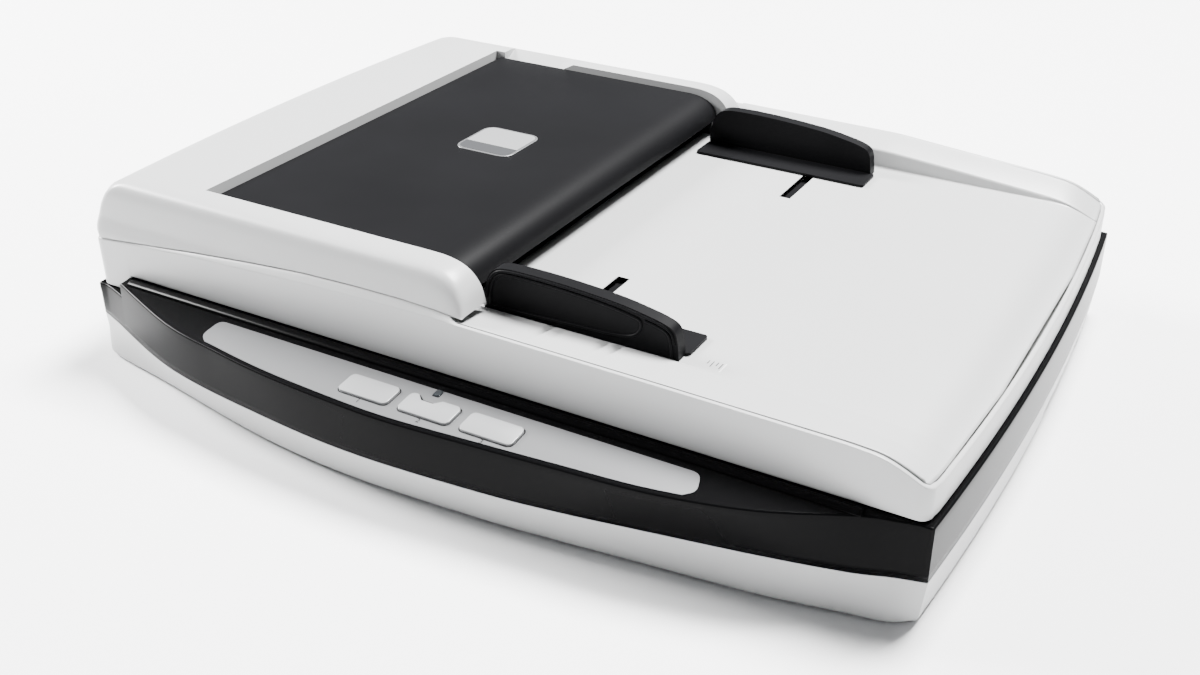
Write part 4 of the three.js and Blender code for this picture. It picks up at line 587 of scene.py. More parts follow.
def tray_top(x, y):
    """The tray's height at a point of the lid's rim, where the front and back lips run level across."""
    at = np.maximum(x, from_left(TRAY_AT[1]))
    height = tray_height(at, np.maximum(y, LIP["level"]))
    lip = LIP["width"] + LIP["near"]
    height = np.where(y < lip, eased(at + HALF_LID, TRAY_AT, TRAY_LIP), height)
    return np.where(y > LID["depth"] - lip, eased(at + HALF_LID, TRAY_AT, RAIL_OUTER), height)


def beside_posts(half):
    """Both sides of every post's notch, as x."""
    return (from_left(POSTS)[:, None] + np.array([-half, half])[None]).ravel()


def lid_path():
    """The lid's outline seen from above: straight front and back, bulged sides and round corners,
    anticlockwise."""
    corner = LID["corner"]
    turn = np.linspace(0, np.pi / 2, 9)
    reach = HALF_LID - corner
    edges = [LID["skirt_end"], LID["skirt_end"] + LID["skirt_ramp"], LID["arch_end"],
             LID["arch_end"] + LID["arch_ramp"]]
    front_x = np.unique(np.concatenate([np.linspace(-reach, reach, 200), from_left(np.array(edges))]))
    close = np.concatenate([beside_posts(POST["half"]), beside_posts(POST["knuckle"])])
    back_x = np.unique(np.concatenate([front_x, close - HAIR, close + HAIR]))[::-1]
    side_y = np.linspace(corner, LID["depth"] - corner, 60)[1:-1]
    side_x = HALF_LID + bulge_at(side_y, LID["bulge"], LID["depth"])
    arc = np.stack([np.sin(turn), 1 - np.cos(turn)], axis=-1) * corner
    front = np.column_stack([front_x, np.zeros_like(front_x)])
    right_low = arc[1:] + [reach, 0]
    right = np.column_stack([side_x, side_y])
    right_high = arc[::-1][:-1] * [1, -1] + [reach, LID["depth"]]
    back = np.column_stack([back_x, np.full_like(back_x, LID["depth"])])
    half = [right_low, right, right_high]
    left = [part[::-1] * [-1, 1] for part in half[::-1]]
    return np.concatenate([front, *half, back, *left])


def lid_foot(x, y):
    """The height of the lid walls' lower edge: lower at the left skirt, notched at the posts, and cut back at
    45 degrees behind, so that the lid can turn."""
    skirt = 1 - smooth((x + HALF_LID - LID["skirt_end"]) / LID["skirt_ramp"])
    foot = LID["bottom"] + (LID["skirt"] - LID["bottom"]) * skirt
    near = np.abs(x[:, None] - from_left(POSTS)[None]).min(axis=1)
    behind = y > LID["depth"] - LIP["near"]
    foot = np.where(behind & (near < POST["half"]), POST["notch"], foot)
    foot = np.where(behind & (near < POST["knuckle"]), POST["knuckle_top"], foot)
    swing = y - (LID["depth"] - LID["chamfer"])
    return np.where(swing > 0, np.maximum(foot, LID["bottom"] + swing), foot)


def inward(path):
    """The inward normal of a closed anticlockwise path: its direction turned a quarter to the left."""
    along = np.roll(path, -1, axis=0) - np.roll(path, 1, axis=0)
    along /= np.linalg.norm(along, axis=1, keepdims=True)
    return np.column_stack([-along[:, 1], along[:, 0]])


def lid_rim():
    """The lid's walls: a closed section carried round its outline. Its corners are the wall's foot, the lip,
    and then the tray's lip and groove or, under the feeder, the sloping shoulder and the ledge behind it."""
    path = lid_path()
    normal = inward(path)
    x, y = path.T
    at = x + HALF_LID
    wall = LID["wall"]
    arch = 1 - smooth((at - LID["arch_end"]) / LID["arch_ramp"])
    inner = path + normal * (LIP["width"] + LIP["groove"])
    inner_edge = tray_top(inner[:, 0], inner[:, 1])
    lip = np.interp(at, ARCH_AT, ARCH_LIP)
    seam = np.interp(at, ARCH_AT, ARCH_SEAM)
    edge = arch * lip + (1 - arch) * tray_top(x, y)
    foot = lid_foot(x, y)
    slope = np.maximum(seam - lip, GAP)
    width = LIP["width"]
    ledge = LIP["ledge"]
    tray_line = [(width, inner_edge), (width + 0.1, inner_edge - LIP["groove_depth"]),
                 (wall, inner_edge - LIP["tray_turn"]), (wall, inner_edge - LIP["tray_foot"])]
    arch_line = [(slope, seam), (ledge, seam), (ledge, seam - LIP["ledge_edge"]),
                 (wall, seam - LIP["ledge_foot"])]
    shared = [(wall, foot), (0.0, foot), (0.0, edge)]
    mixed = [(arch * under[0] + (1 - arch) * open_line[0], arch * under[1] + (1 - arch) * open_line[1])
             for under, open_line in zip(arch_line, tray_line)]
    corners = [*shared, *mixed, shared[0]]
    rows = [np.stack([np.broadcast_to(part, x.shape) for part in corner], axis=-1) for corner in corners]
    line = rounded(np.stack(rows, axis=-2), LIP_ROUND, 5)
    flat = path[:, None] + normal[:, None] * line[..., :1]
    points = np.concatenate([flat, line[..., 1:]], axis=-1).transpose(1, 0, 2)
    return points, grid_faces(*points.shape[:2], wrap=True)


# The feeder's housing and cover

def housing_path(left, front, columns):
    """A line round the housing at each height: along the front from the nose to the left, round the bulged
    left end and back along the far side. left and front say how far the wall stands in at each height."""
    depth = LID["depth"]
    radius = HOUSING["corner"]
    straight, turn, side = columns
    left = left[:, None]
    front = front[:, None]
    start = -HALF_LID + left + radius
    fixed = straight[None] * np.ones_like(left)
    tail = start + (fixed[:, -1:] - start) * np.linspace(1, 0, 14)[None, 1:]
    x_front = np.concatenate([fixed, tail], axis=1)
    y_front = front * np.ones_like(x_front)
    arc_x = start - radius * np.sin(turn)[None]
    arc_y = front + radius * (1 - np.cos(turn))[None]
    low = front + radius
    y_side = low + (depth - 2 * low) * side[None]
    x_side = -HALF_LID + left - bulge_at(y_side, LID["bulge"], depth)
    x = np.concatenate([x_front, arc_x, x_side, arc_x[:, ::-1], x_front[:, ::-1]], axis=1)
    y = np.concatenate([y_front, arc_y, y_side, depth - arc_y[:, ::-1], depth - y_front[:, ::-1]], axis=1)
    return x, y


def housing_columns():
    """Where the housing's columns lie: the x of the straight ones, the corner's angles and the left side's
    shares."""
    left, right = RECESS["left"], RECESS["right"]
    marks = [left, left + RECESS["side"], right - RECESS["ramp"], right]
    level = np.linspace(HOUSING["columns_from"], NOSE[0, 0], 80)
    at = np.concatenate([level, np.linspace(NOSE[0, 0], NOSE[-1, 0], 34), marks])
    straight = from_left(np.unique(np.round(at, 4)))[::-1]
    turn = np.linspace(0, np.pi / 2, 10)[1:-1]
    exits = np.array([HOUSING["exit_front"], HOUSING["exit_back"]])
    reach = LID["depth"] - 2 * HOUSING["corner"]
    side = np.unique(np.concatenate([np.linspace(0, 1, 60), (exits - HOUSING["corner"]) / reach]))
    return straight, turn, side


def housing_surface():
    """The feeder's housing: rows rise from the arched seam up the leaning flanks, cross the flat top to the
    bay's edge and go down inside it. At the nose the height above the seam shrinks along the nose's curve.
    The faces over the exit slot are left out."""
    top = HOUSING["top"]
    exit_top = HOUSING["exit_top"]
    low_share = np.linspace(0, 1, 6)
    high_share = np.linspace(0, 1, 40)[1:]
    z_low = HOUSING["left_bottom"] + (exit_top - HOUSING["left_bottom"]) * low_share
    z_flat = np.concatenate([z_low, exit_top + (top - exit_top) * high_share])
    flank = spline(FLANK, 60)
    end = spline(LEFT_END, 60)
    left_in = np.interp(z_flat, end[:, 1], end[:, 0])
    base_in = np.interp(z_flat, flank[:, 1], flank[:, 0])
    x, y = housing_path(left_in, base_in, housing_columns())
    base_in = base_in[:, None]

    at = x + HALF_LID
    arched = np.interp(at, ARCH_AT, ARCH_SEAM) + GAP
    seam = np.where(at < HOUSING["left_line"], HOUSING["left_bottom"], arched)
    seam = np.maximum(seam, np.where(at < HOUSING["left_seam"], HOUSING["left_bottom"], seam))
    split = np.maximum(exit_top, seam + HOUSING["seam_band"])
    low = np.concatenate([low_share, np.ones(len(high_share))])[:, None]
    high = np.concatenate([np.zeros(len(low_share)), high_share])[:, None]
    z = seam + (split - seam) * low + (top - split) * high

    front_in = np.interp(z, flank[:, 1], flank[:, 0])
    near_front = y < LID["depth"] / 2
    on_front = np.abs(np.where(near_front, y, LID["depth"] - y) - base_in) < 1e-3
    y = np.where(on_front & near_front, front_in, np.where(on_front, LID["depth"] - front_in, y))

    end_curve = spline(NOSE, 80)
    nose = np.interp(at, end_curve[:, 0], end_curve[:, 1])
    shrink = np.clip((nose - seam) / (top - seam), NOSE_LEAST, 1)
    z = seam + (z - seam) * np.where(at > NOSE[0, 0], shrink, 1)

    edge_x = np.maximum(x[-1], from_left(HOUSING["bay_left"]))
    edge_y = np.clip(y[-1], HOUSING["bay_front"], HOUSING["bay_back"])
    across, drop = BAY_ROWS.T[:, :, None]
    x = np.concatenate([x, x[-1:] + (edge_x - x[-1:]) * across])
    y = np.concatenate([y, y[-1:] + (edge_y - y[-1:]) * across])
    z = np.concatenate([z, np.maximum(z[-1:] - drop, seam[-1:] - HOUSING["below_seam"])])
    z = np.minimum(z, finger_ramp(x, y))
    points = np.stack([x, y, z], axis=-1)
    middle = (points[:-1, :-1] + points[1:, 1:]) / 2
    at_left = (middle[..., 0] < from_left(HOUSING["exit_in"])) & (middle[..., 2] < exit_top)
    gone = at_left & (middle[..., 1] > HOUSING["exit_front"]) & (middle[..., 1] < HOUSING["exit_back"])
    return points, grid_faces(*points.shape[:2], keep=~gone)


def finger_ramp(x, y):
    """The height left over the finger recess: a ramp from its floor at the bay's edge up to the top at its
    back."""
    at = x + HALF_LID
    rise = (y - HOUSING["bay_back"]) / (RECESS["back"] - HOUSING["bay_back"])
    ramp = RECESS["bottom"] + (HOUSING["top"] - RECESS["bottom"]) * np.clip(rise, 0, 1)
    from_start = np.clip((at - RECESS["left"]) / RECESS["side"], 0, 1)
    from_end = np.clip((RECESS["right"] - at) / RECESS["ramp"], 0, 1)
    inside = (y > HOUSING["bay_back"] - HAIR) * from_start * from_end
    return np.where(inside > 0, ramp + (HOUSING["top"] - ramp) * (1 - inside), np.inf)


def cover_line(drop):
    """The cover seen from the front: level, then a soft bend down to its lip, moved in by the drop."""
    share = np.linspace(0, 1, 40)
    bend = np.stack([share, np.sqrt(np.clip(1 - share ** 2.3, 0, 1)) ** 0.9], axis=-1)
    rise = COVER["top"] - COVER["lip"]
    level = np.linspace(COVER["left"], COVER["bend"], 60)[:-1]
    x = np.concatenate([level, COVER["bend"] + (COVER["run"] - drop) * bend[:, 0]])
    z = np.concatenate([np.full_like(level, COVER["top"] - drop), COVER["lip"] + (rise - drop) * bend[:, 1]])
    return np.stack([from_left(x), z], axis=-1)


def cover_surface():
    """The cover: the outer line carried from front to back, closed over the lip and back along the inner
    line."""
    outer = cover_line(0.0)
    inner = cover_line(COVER["thickness"])
    loop = np.concatenate([outer, inner[::-1]])
    y = np.linspace(COVER["front"], COVER["back"], 80)
    shape = (len(y), len(loop))
    x_rows = np.broadcast_to(loop[:, 0], shape)
    z_rows = np.broadcast_to(loop[:, 1], shape)
    points = np.stack([x_rows, np.broadcast_to(y[:, None], shape), z_rows], axis=-1)
    half = len(outer)
    faces = grid_faces(*shape, wrap=True)
    strip = np.arange(half - 1)
    cap = np.stack([strip, strip + 1, 2 * half - 2 - strip, 2 * half - 1 - strip], axis=-1)
    last = (len(y) - 1) * len(loop)
    return points, np.concatenate([faces, cap[:, ::-1], cap + last])


def drum(axis, radius, y, sides=24):
    """A closed round bar along y."""
    turn = np.linspace(0, 2 * np.pi, sides, endpoint=False)
    ring = np.stack([axis[0] + radius * np.cos(turn), axis[1] + radius * np.sin(turn)], axis=-1)
    centre = np.broadcast_to(np.array(axis), ring.shape)
    rows = [level_ring(line, at) for line, at in ((centre, y[0]), (ring, y[0]), (ring, y[1]), (centre, y[1]))]
    points = np.stack(rows)[..., [0, 2, 1]]
    return points, grid_faces(4, sides, wrap=True)


def merged(parts):
    """Several (points, faces) pairs as one."""
    points = [part[0].reshape(-1, 3) for part in parts]
    starts = np.cumsum([0, *[len(part) for part in points[:-1]]])
    faces = [part[1] + start for part, start in zip(parts, starts)]
    return np.concatenate(points), np.concatenate(faces)


# The lower housing

def bow_line(bow, x):
    """How far in front of y = 0 the bow lies at each x: a smooth curve through its shares."""
    curve = spline(bow, 400)
    return -np.interp(x / BASE["half"], curve[:, 0], curve[:, 1]) * BASE["bow"]


def deck_height(x, y):
    """The frame's top: level behind y = 0, falling to the front, and lower at the left end."""
    slope = BASE["deck"] + np.minimum(0, y) * BASE["fall"] / BASE["bow"]
    return np.where(x < from_left(BASE["low_end"]), BASE["low"], slope)


def base_side(y):
    """Half the width of the base at each depth, with its bulge and the chamfer at the back."""
    wide = BASE["half"] + bulge_at(y, BASE["bulge"], BASE["back"])
    return np.minimum(wide, BASE["half"] + BASE["back"] - y)


def frame_surface():
    """The black frame's top: columns from side to side, rows from the bow's edge back to the hinge, with the
    windows of both glasses, the wells of the posts and the keys' bay left out."""
    step = from_left(BASE["low_end"])
    bay = from_left(np.array([KEY_BAY["left"], KEY_BAY["right"]]))
    edges = np.array([GLASS["feeder_left"], GLASS["feeder_right"], GLASS["left"], GLASS["right"]])
    windows = from_left(edges)
    wells = beside_posts(POST["half"])
    straight = BASE["straight"]
    even = np.linspace(-straight, straight, 150)
    inner = np.unique(np.round(np.concatenate([even, [step - HAIR, step + HAIR], bay, windows, wells]), 3))
    ends = np.linspace(0, 1, 6)[1:]
    deep = np.array([GLASS["front"], GLASS["back"], POST["front"], POST["back"]])
    soft = BASE["soft"]
    y_back = np.unique(np.concatenate([np.linspace(BASE["front"], BASE["back"] - soft, 50), deep]))
    half = base_side(y_back)[:, None] - soft
    side = (half - straight) * ends[None]
    fixed = inner[None] * np.ones_like(half)
    x_back = np.concatenate([-straight - side[:, ::-1], fixed, straight + side], axis=1)
    y_back = y_back[:, None] * np.ones_like(x_back)
    x_front = x_back[:1]
    share = np.linspace(1, 0, 20)[:-1, None]
    front = np.minimum(bow_line(DECK_BOW, x_front) + soft, BASE["front"] - HAIR / 2)
    y_front = BASE["front"] + (front - BASE["front"]) * share
    x_rows = np.concatenate([x_front * np.ones_like(share), x_back])
    y_rows = np.concatenate([y_front, y_back])
    top = np.stack([x_rows, y_rows, deck_height(x_rows, y_rows)], axis=-1)
    middle = (top[:-1, :-1] + top[1:, 1:]) / 2

    def inside(x, y):
        across = (middle[..., 0] > x[0]) & (middle[..., 0] < x[1])
        return across & (middle[..., 1] > y[0]) & (middle[..., 1] < y[1])

    gone = inside(windows[:2], deep[:2]) | inside(windows[2:], deep[:2])
    gone |= inside(wells[:2], deep[2:]) | inside(wells[2:], deep[2:])
    gone |= inside(bay, (-KEY_BAY["front"], -KEY_BAY["back"]))
    return merged([(top, grid_faces(*top.shape[:2], keep=~gone)), frame_walls(top)])


def frame_walls(top):
    """The frame's outer walls: a quarter round outside the top's rim, then straight down at the sides and
    back, and out to the seam's bow in front."""
    rim = np.concatenate([top[0], top[1:, -1], top[-1, -2::-1], top[-2:0:-1, 0]])
    soft = BASE["soft"]
    turn = np.linspace(0, np.pi / 2, 6)[:, None, None]
    outward = np.column_stack([-inward(rim[:, :2]), np.zeros(len(rim))])
    arc = rim[None] + outward[None] * soft * np.sin(turn) - np.array([0, 0, soft]) * (1 - np.cos(turn))
    edge = arc[-1]
    low = edge.copy()
    in_front = edge[:, 1] < BASE["front"] + MM
    bow = np.minimum(bow_line(SEAM_BOW, edge[:, 0]), BASE["front"])
    low[:, 1] = np.where(in_front, bow, edge[:, 1])
    low[:, 2] = BASE["seam"] + GAP / 2
    share = np.linspace(0, 1, 8)[1:, None, None]
    points = np.concatenate([arc, edge[None] + (low - edge)[None] * share])
    return points, grid_faces(*points.shape[:2], wrap=True)[:, ::-1]


def frame_rib():
    """The rib along the frame's top behind the panel: a flattened half round with sloping ends."""
    x = from_left(np.array([RIB["left"], RIB["right"]]))
    turn = np.linspace(0, np.pi, 12)
    y = -(RIB["front"] + RIB["back"]) / 2 - (RIB["front"] - RIB["back"]) / 2 * np.cos(turn)
    deck = deck_height(np.zeros_like(y), y)
    high = deck + RIB["height"] * np.sin(turn) ** RIB["fullness"]
    low = deck - RIB["sunk"]
    along = np.concatenate([x[0] + RIB_END, x[1] - RIB_END[::-1]])
    rise = np.concatenate([RIB_RISE, RIB_RISE[::-1]])
    shape = (len(along), len(turn))
    z = low[None] + (high - low)[None] * rise[:, None]
    points = np.stack([np.broadcast_to(along[:, None], shape), np.broadcast_to(y, shape), z], axis=-1)
    return points, grid_faces(*shape)


def tray_outline():
    """The base's outline from above, on a straight front: front, right side, back and left side."""
    half = BASE["half"]
    front_x = np.linspace(-half, half, 200)[1:-1]
    marks = (from_left(SOCKETS[:, 0])[:, None] + SOCKETS[:, 1:] * np.array([-1, 1])[None]).ravel()
    reach = half - BASE["chamfer"]
    back_x = np.unique(np.concatenate([np.linspace(-reach, reach, 80), marks]))[::-1]
    holds = [HAND_HOLD["from"], HAND_HOLD["from"] + HAND_HOLD["ramp"], HAND_HOLD["to"] - HAND_HOLD["ramp"],
             HAND_HOLD["to"]]
    even = np.linspace(BASE["front"], BASE["back"] - BASE["chamfer"], 60)
    side_y = np.unique(np.concatenate([even, holds]))
    side_x = half + bulge_at(side_y, BASE["bulge"], BASE["back"])
    front = np.column_stack([front_x, np.zeros_like(front_x)])
    back = np.column_stack([back_x, np.full_like(back_x, BASE["back"])])
    right = np.column_stack([side_x, side_y])
    left = np.column_stack([-side_x[::-1], side_y[::-1]])
    return np.concatenate([front, right, back, left]), len(front_x)


def tray_shell():
    """The white tray: a closed line round the base at each height, from the bow at the seam to the bow at its
    foot, pushed in at the hand holds, then across its floor to a middle line. Faces over the sockets are left
    out."""
    outline, count = tray_outline()
    top = BASE["seam"] - GAP / 2
    hold_top = BASE["bottom"] + HAND_HOLD["height"]
    heights = np.array([top, *WALL_HEIGHTS, hold_top + HAIR, hold_top - HAIR, *FOOT_HEIGHTS])
    tuck = np.zeros(len(heights))
    tuck[-len(FOOT_TUCK):] = FOOT_TUCK
    share = ((top - heights) / (top - BASE["bottom"]))[:, None]
    taper = 1 - share * BASE["taper"] / BASE["half"]
    x = outline[None, :, 0] * taper
    y = outline[None, :, 1] * np.ones_like(share)
    high = bow_line(SEAM_BOW, outline[:count, 0])
    low = bow_line(FOOT_BOW, outline[:count, 0])
    y[:, :count] = high[None] + (low - high)[None] * share
    rest = y[:, count:]
    y[:, count:] = np.where(rest > BASE["back"] - HAIR / 2, rest - share * BASE["lean"], rest)
    flat = np.stack([x, y], axis=-1)
    along = np.roll(flat, -1, axis=1) - np.roll(flat, 1, axis=1)
    along /= np.linalg.norm(along, axis=-1, keepdims=True)
    flat = flat + np.stack([-along[..., 1], along[..., 0]], axis=-1) * tuck[:, None, None]
    from_end = np.minimum(flat[..., 1] - HAND_HOLD["from"], HAND_HOLD["to"] - flat[..., 1])
    push = HAND_HOLD["depth"] * np.clip(from_end / HAND_HOLD["ramp"], 0, 1) * (heights < hold_top)[:, None]
    sides = np.abs(flat[..., 0]) > BASE["half"] - HAND_HOLD["side"]
    flat[..., 0] -= np.sign(flat[..., 0]) * push * sides
    walls = np.concatenate([flat, np.broadcast_to(heights[:, None, None], (*flat.shape[:2], 1))], axis=-1)
    foot = flat[-1]
    middle_x = np.clip(foot[:, 0], -FLOOR_LINE["half"], FLOOR_LINE["half"])
    centre = np.stack([middle_x, np.full(len(foot), FLOOR_LINE["at"])], axis=-1)
    floors = [level_ring(foot + (centre - foot) * part, BASE["bottom"]) for part in (0.5, 1.0)]
    points = np.concatenate([walls, np.stack(floors)])
    middle = (points[:-1] + points[1:]) / 2
    middle = (middle + np.roll(middle, -1, axis=1)) / 2
    near = np.abs(middle[..., :1] - from_left(SOCKETS[:, 0])) < SOCKETS[:, 1]
    at_back = near.any(axis=-1) & (middle[..., 1] > BASE["back"] - BASE["tray_wall"])
    gone = at_back & (middle[..., 2] > SOCKET_Z[0]) & (middle[..., 2] < SOCKET_Z[1])
    return points, grid_faces(*points.shape[:2], wrap=True, keep=~gone)


# The operators

class SCANNER_PG_look(PropertyGroup):
    """The colours and sizes that a user would change."""

    shell_colour: FloatVectorProperty(
        name="Shell", description="Colour of the white shells", subtype="COLOR",
        default=(0.4, 0.403, 0.403), min=0, max=1)
    band_colour: FloatVectorProperty(
        name="Band", description="Colour of the black frame", subtype="COLOR",
        default=(0.002, 0.002, 0.0022), min=0, max=1)
    cover_colour: FloatVectorProperty(
        name="Cover", description="Colour of the feeder cover and guides", subtype="COLOR",
        default=(0.005, 0.005, 0.0055), min=0, max=1)
    panel_colour: FloatVectorProperty(
        name="Panel", description="Colour of the key panel", subtype="COLOR",
        default=(0.19, 0.192, 0.196), min=0, max=1)
    edge_round: FloatProperty(
        name="Edges", description="Rounding of moulded edges, in millimetres", default=0.5, min=0.1, max=1.5)
    key_light: FloatProperty(
        name="Light", description="Power that the studio lights share out", subtype="POWER", unit="POWER",
        default=230.0, min=0)


class SCANNER_OT_lid(Operator):
    """Builds the lid's walls with their lip and the paper tray in its top"""

    bl_idname = "scanner.lid"
    bl_label = "Lid and tray"

    def execute(self, context):
        mesh = new_mesh("lid_rim", *lid_rim(), closed=True)
        add_piece("lid_rim", mesh, "lid_white", "lid", ["lid_shell"])
        mesh = new_mesh("paper_tray", *tray_surface())
        add_piece("paper_tray", mesh, "lid_white", "lid", ["lid_shell"], wall=LID["sheet"])
        return {"FINISHED"}


class SCANNER_OT_housing(Operator):
    """Builds the feeder's white housing round the cover's bay"""

    bl_idname = "scanner.housing"
    bl_label = "Feeder housing"

    def execute(self, context):
        look = context.scene.scanner_look
        mesh = new_mesh("feeder_housing", *housing_surface(), flip=True)
        add_piece("feeder_housing", mesh, "lid_white", "lid", ["adf_housing"], wall=HOUSING["wall"],
                  edge=look.edge_round)
        return {"FINISHED"}


class SCANNER_OT_cover(Operator):
    """Builds the feeder's black cover with its hinge knuckles, and the badge on it"""

    bl_idname = "scanner.cover"
    bl_label = "Feeder cover"

    def execute(self, context):
        axis = (from_left(COVER["left"] + COVER["axis_in"]), COVER["top"] - COVER["axis_drop"])
        fronts = (COVER["front"] + COVER["knuckle_front"], COVER["back"] - COVER["knuckle_back"])
        knuckles = [drum(axis, COVER["knuckle"], (y, y + COVER["knuckle_width"])) for y in fronts]
        mesh = new_mesh("cover_skin", *merged([cover_surface(), *knuckles]), closed=True)
        add_piece("cover_skin", mesh, "cover_black", "feeder_cover", ["adf_cover"], edge=COVER["edge"])
        build_badge()
        return {"FINISHED"}


def build_badge():
    """The bare badge: a plate with round corners and, on it, a pale face over a dark strip."""
    half = BADGE["width"] / 2
    inset = BADGE["rim"]
    x = (from_left(BADGE["at"]) - half, from_left(BADGE["at"]) + half)
    y = (BADGE["middle"] - half, BADGE["middle"] + half)
    mesh = new_mesh("badge_plate", *slab(round_rect(x, y, BADGE["corner"]), BADGE["bottom"], BADGE["top"]),
                    closed=True)
    add_piece("badge_plate", mesh, "panel_silver", "feeder_cover", ["cover_badge"], edge=BADGE["edge"])
    face = round_rect((x[0] + inset, x[1] - inset), (y[0] + inset, y[1] - inset), BADGE["corner"] - inset)
    split = y[0] + BADGE["strip"]
    upper = np.column_stack([face[:, 0], np.maximum(face[:, 1], split + GAP)])
    lower = np.column_stack([face[:, 0], np.minimum(face[:, 1], split)])
    low, high = BADGE["top"] - BADGE["sunk"], BADGE["top"] + BADGE["proud"]
    for part, line, material in (("face", upper, "key_grey"), ("strip", lower, "badge_grey")):
        mesh = new_mesh("badge_" + part, *slab(line, low, high), closed=True)
        add_piece("badge_" + part, mesh, material, "feeder_cover")


class SCANNER_OT_base(Operator):
    """Builds the white tray and the black frame with its rib"""

    bl_idname = "scanner.base"
    bl_label = "Base"

    def execute(self, context):
        mesh = new_mesh("tray_shell", *tray_shell(), flip=True)
        add_piece("tray_shell", mesh, "tray_white", "base", ["base_tray"], wall=BASE["tray_wall"],
                  edge=BASE["tray_edge"])
        mesh = new_mesh("frame_shell", *frame_surface())
        add_piece("frame_shell", mesh, "band_black", "base", ["base_frame"], wall=BASE["frame_wall"],
                  even=False)
        mesh = new_mesh("frame_rib", *frame_rib())
        add_piece("frame_rib", mesh, "band_black", "base", wall=RIB["wall"], sharp=RIB["sharp"])
        return {"FINISHED"}


class SCANNER_OT_guides(Operator):
    """Builds both paper guides: a wing with raised rims, a flange, a neck and a rack"""

    bl_idname = "scanner.guides"
    bl_label = "Paper guides"

    def execute(self, context):
        for to_back in (False, True):
            build_guide(to_back)
        return {"FINISHED"}


def wing_slab(line, y):
    """A closed plate from a line seen from the front, between two depths."""
    points, faces = slab(line, *y)
    return points[..., [0, 2, 1]], faces


def guide_rim(line, count, y):
    """A thin round rim on a guide's face, along a smooth line through points seen from the front."""
    flat = spline(line, count) - [HALF_LID, 0]
    return tube(level_ring(flat, y)[:, [0, 2, 1]], GUIDE["rim"])


def build_guide(to_back):
    """One guide: its wing, the flange at its foot, and the neck and rack that lie under the tray."""
    way = -1 if to_back else 1
    name = "back" if to_back else "front"
    inner = GUIDE[name]
    outer = inner - way * GUIDE["thickness"]
    foot = GUIDE["foot"]
    wing = wing_slab(spline(WING, 90) - [HALF_LID, 0], sorted((inner, outer)))
    flange_x = from_left(np.array([GUIDE["left"], GUIDE["right"] + GUIDE["flange_past"]]))
    flange_y = sorted((inner - way * GUIDE["overlap"], inner + way * GUIDE["flange"]))
    flange_line = round_rect(flange_x, flange_y, GUIDE["flange_corner"])
    flange = slab(flange_line, foot, foot + GUIDE["flange_thickness"])
    half = GUIDE["neck_width"] / 2
    neck_x = (neck_at(to_back) - half, neck_at(to_back) + half)
    neck_y = sorted((inner - way * (GUIDE["neck_depth"] - GAP), inner - way * GAP))
    neck = slab(round_rect(neck_x, neck_y, GUIDE["neck_corner"]), RACK["bottom"], foot + GUIDE["neck_rise"])
    rack = slab(rack_line(to_back, inner, way), RACK["bottom"], RACK["bottom"] + RACK["thickness"])
    mesh = new_mesh("guide_" + name, *merged([wing, flange, neck, rack]), closed=True)
    add_piece("guide_" + name, mesh, "cover_black", "guide_" + name, ["paper_guide_" + name],
              edge=GUIDE["edge"])

    face = outer - way * GUIDE["rim_sunk"]
    count = len(WING) - 2
    shift = np.column_stack([np.linspace(WING_EDGE["left_in"], WING_EDGE["right_in"], count),
                             np.full(count, WING_EDGE["down"])])
    loop = np.concatenate([INSET, INSET[:1]])
    rims = [guide_rim(loop, 120, face), guide_rim(TIP, 40, face), guide_rim(WING[1:-1] + shift, 90, face)]
    mesh = new_mesh("guide_rims_" + name, *merged(rims), closed=True)
    add_piece("guide_rims_" + name, mesh, "cover_black", "guide_" + name)


def rack_line(to_back, inner, way):
    """The rack's outline from above: a bar with its teeth towards the pinion, each a flat-topped wedge."""
    side = -1 if to_back else 1
    module = RACK["module"]
    pitch = np.pi * module
    centre = (from_left(RACK["at"]), (GUIDE["front"] + GUIDE["back"]) / 2)
    line = centre[0] - side * module * RACK["teeth"] / 2
    root = line - side * module * RACK["root"]
    tip = line + side * module * RACK["tip"]
    outer = root - side * RACK["width"]
    wide = pitch * RACK["foot_share"]
    thin = pitch * RACK["tip_share"]
    count = int(np.ceil((GUIDE["travel"] + RACK["reach"]) / pitch))
    middle = centre[1] + way * pitch * (np.arange(count) + 0.5 + RACK["ahead"] - count)
    offsets = way * np.array([-wide, -thin, thin, wide])
    tooth = np.broadcast_to([root, tip, tip, root], (count, 4))
    teeth = np.stack([tooth, middle[:, None] + offsets[None]], axis=-1)
    start = inner - way * GUIDE["neck_depth"]
    end = teeth[-1, -1, 1] + way * RACK["width"]
    first = [[outer, start], [root, start]]
    last = [[root, end], [outer, end]]
    return np.concatenate([first, teeth.reshape(-1, 2), last])


def pad_surface():
    """The pad: its outline at each height of its soft edge, drawn together on the middle below and above."""
    x = from_left(np.array([PAD["left"], PAD["right"]]))
    outline = round_rect(x, (PAD["front"], PAD["back"]), PAD["corner"], 12)
    middle = outline.mean(axis=0)
    inset, share = PAD_EDGE.T
    z = PAD["bottom"] + (PAD["top"] - PAD["bottom"]) * share
    reach = np.abs(outline - middle).max(axis=0)
    rings = middle + (outline - middle)[None] * (1 - inset[:, None, None] / reach)
    rows = [level_ring(ring, height) for ring, height in zip(rings, z)]
    centre = np.broadcast_to(middle, outline.shape)
    points = np.stack([level_ring(centre, z[0]), *rows, level_ring(centre, z[-1])])
    return points, grid_faces(*points.shape[:2], wrap=True)


class SCANNER_OT_pad(Operator):
    """Builds the white pad that presses a page on the glass"""

    bl_idname = "scanner.pad"
    bl_label = "Document pad"

    def execute(self, context):
        mesh = new_mesh("page_pad", *pad_surface(), closed=True)
        piece = add_piece("page_pad", mesh, "pad_white", "lid", ["document_pad"])
        return {"FINISHED"}


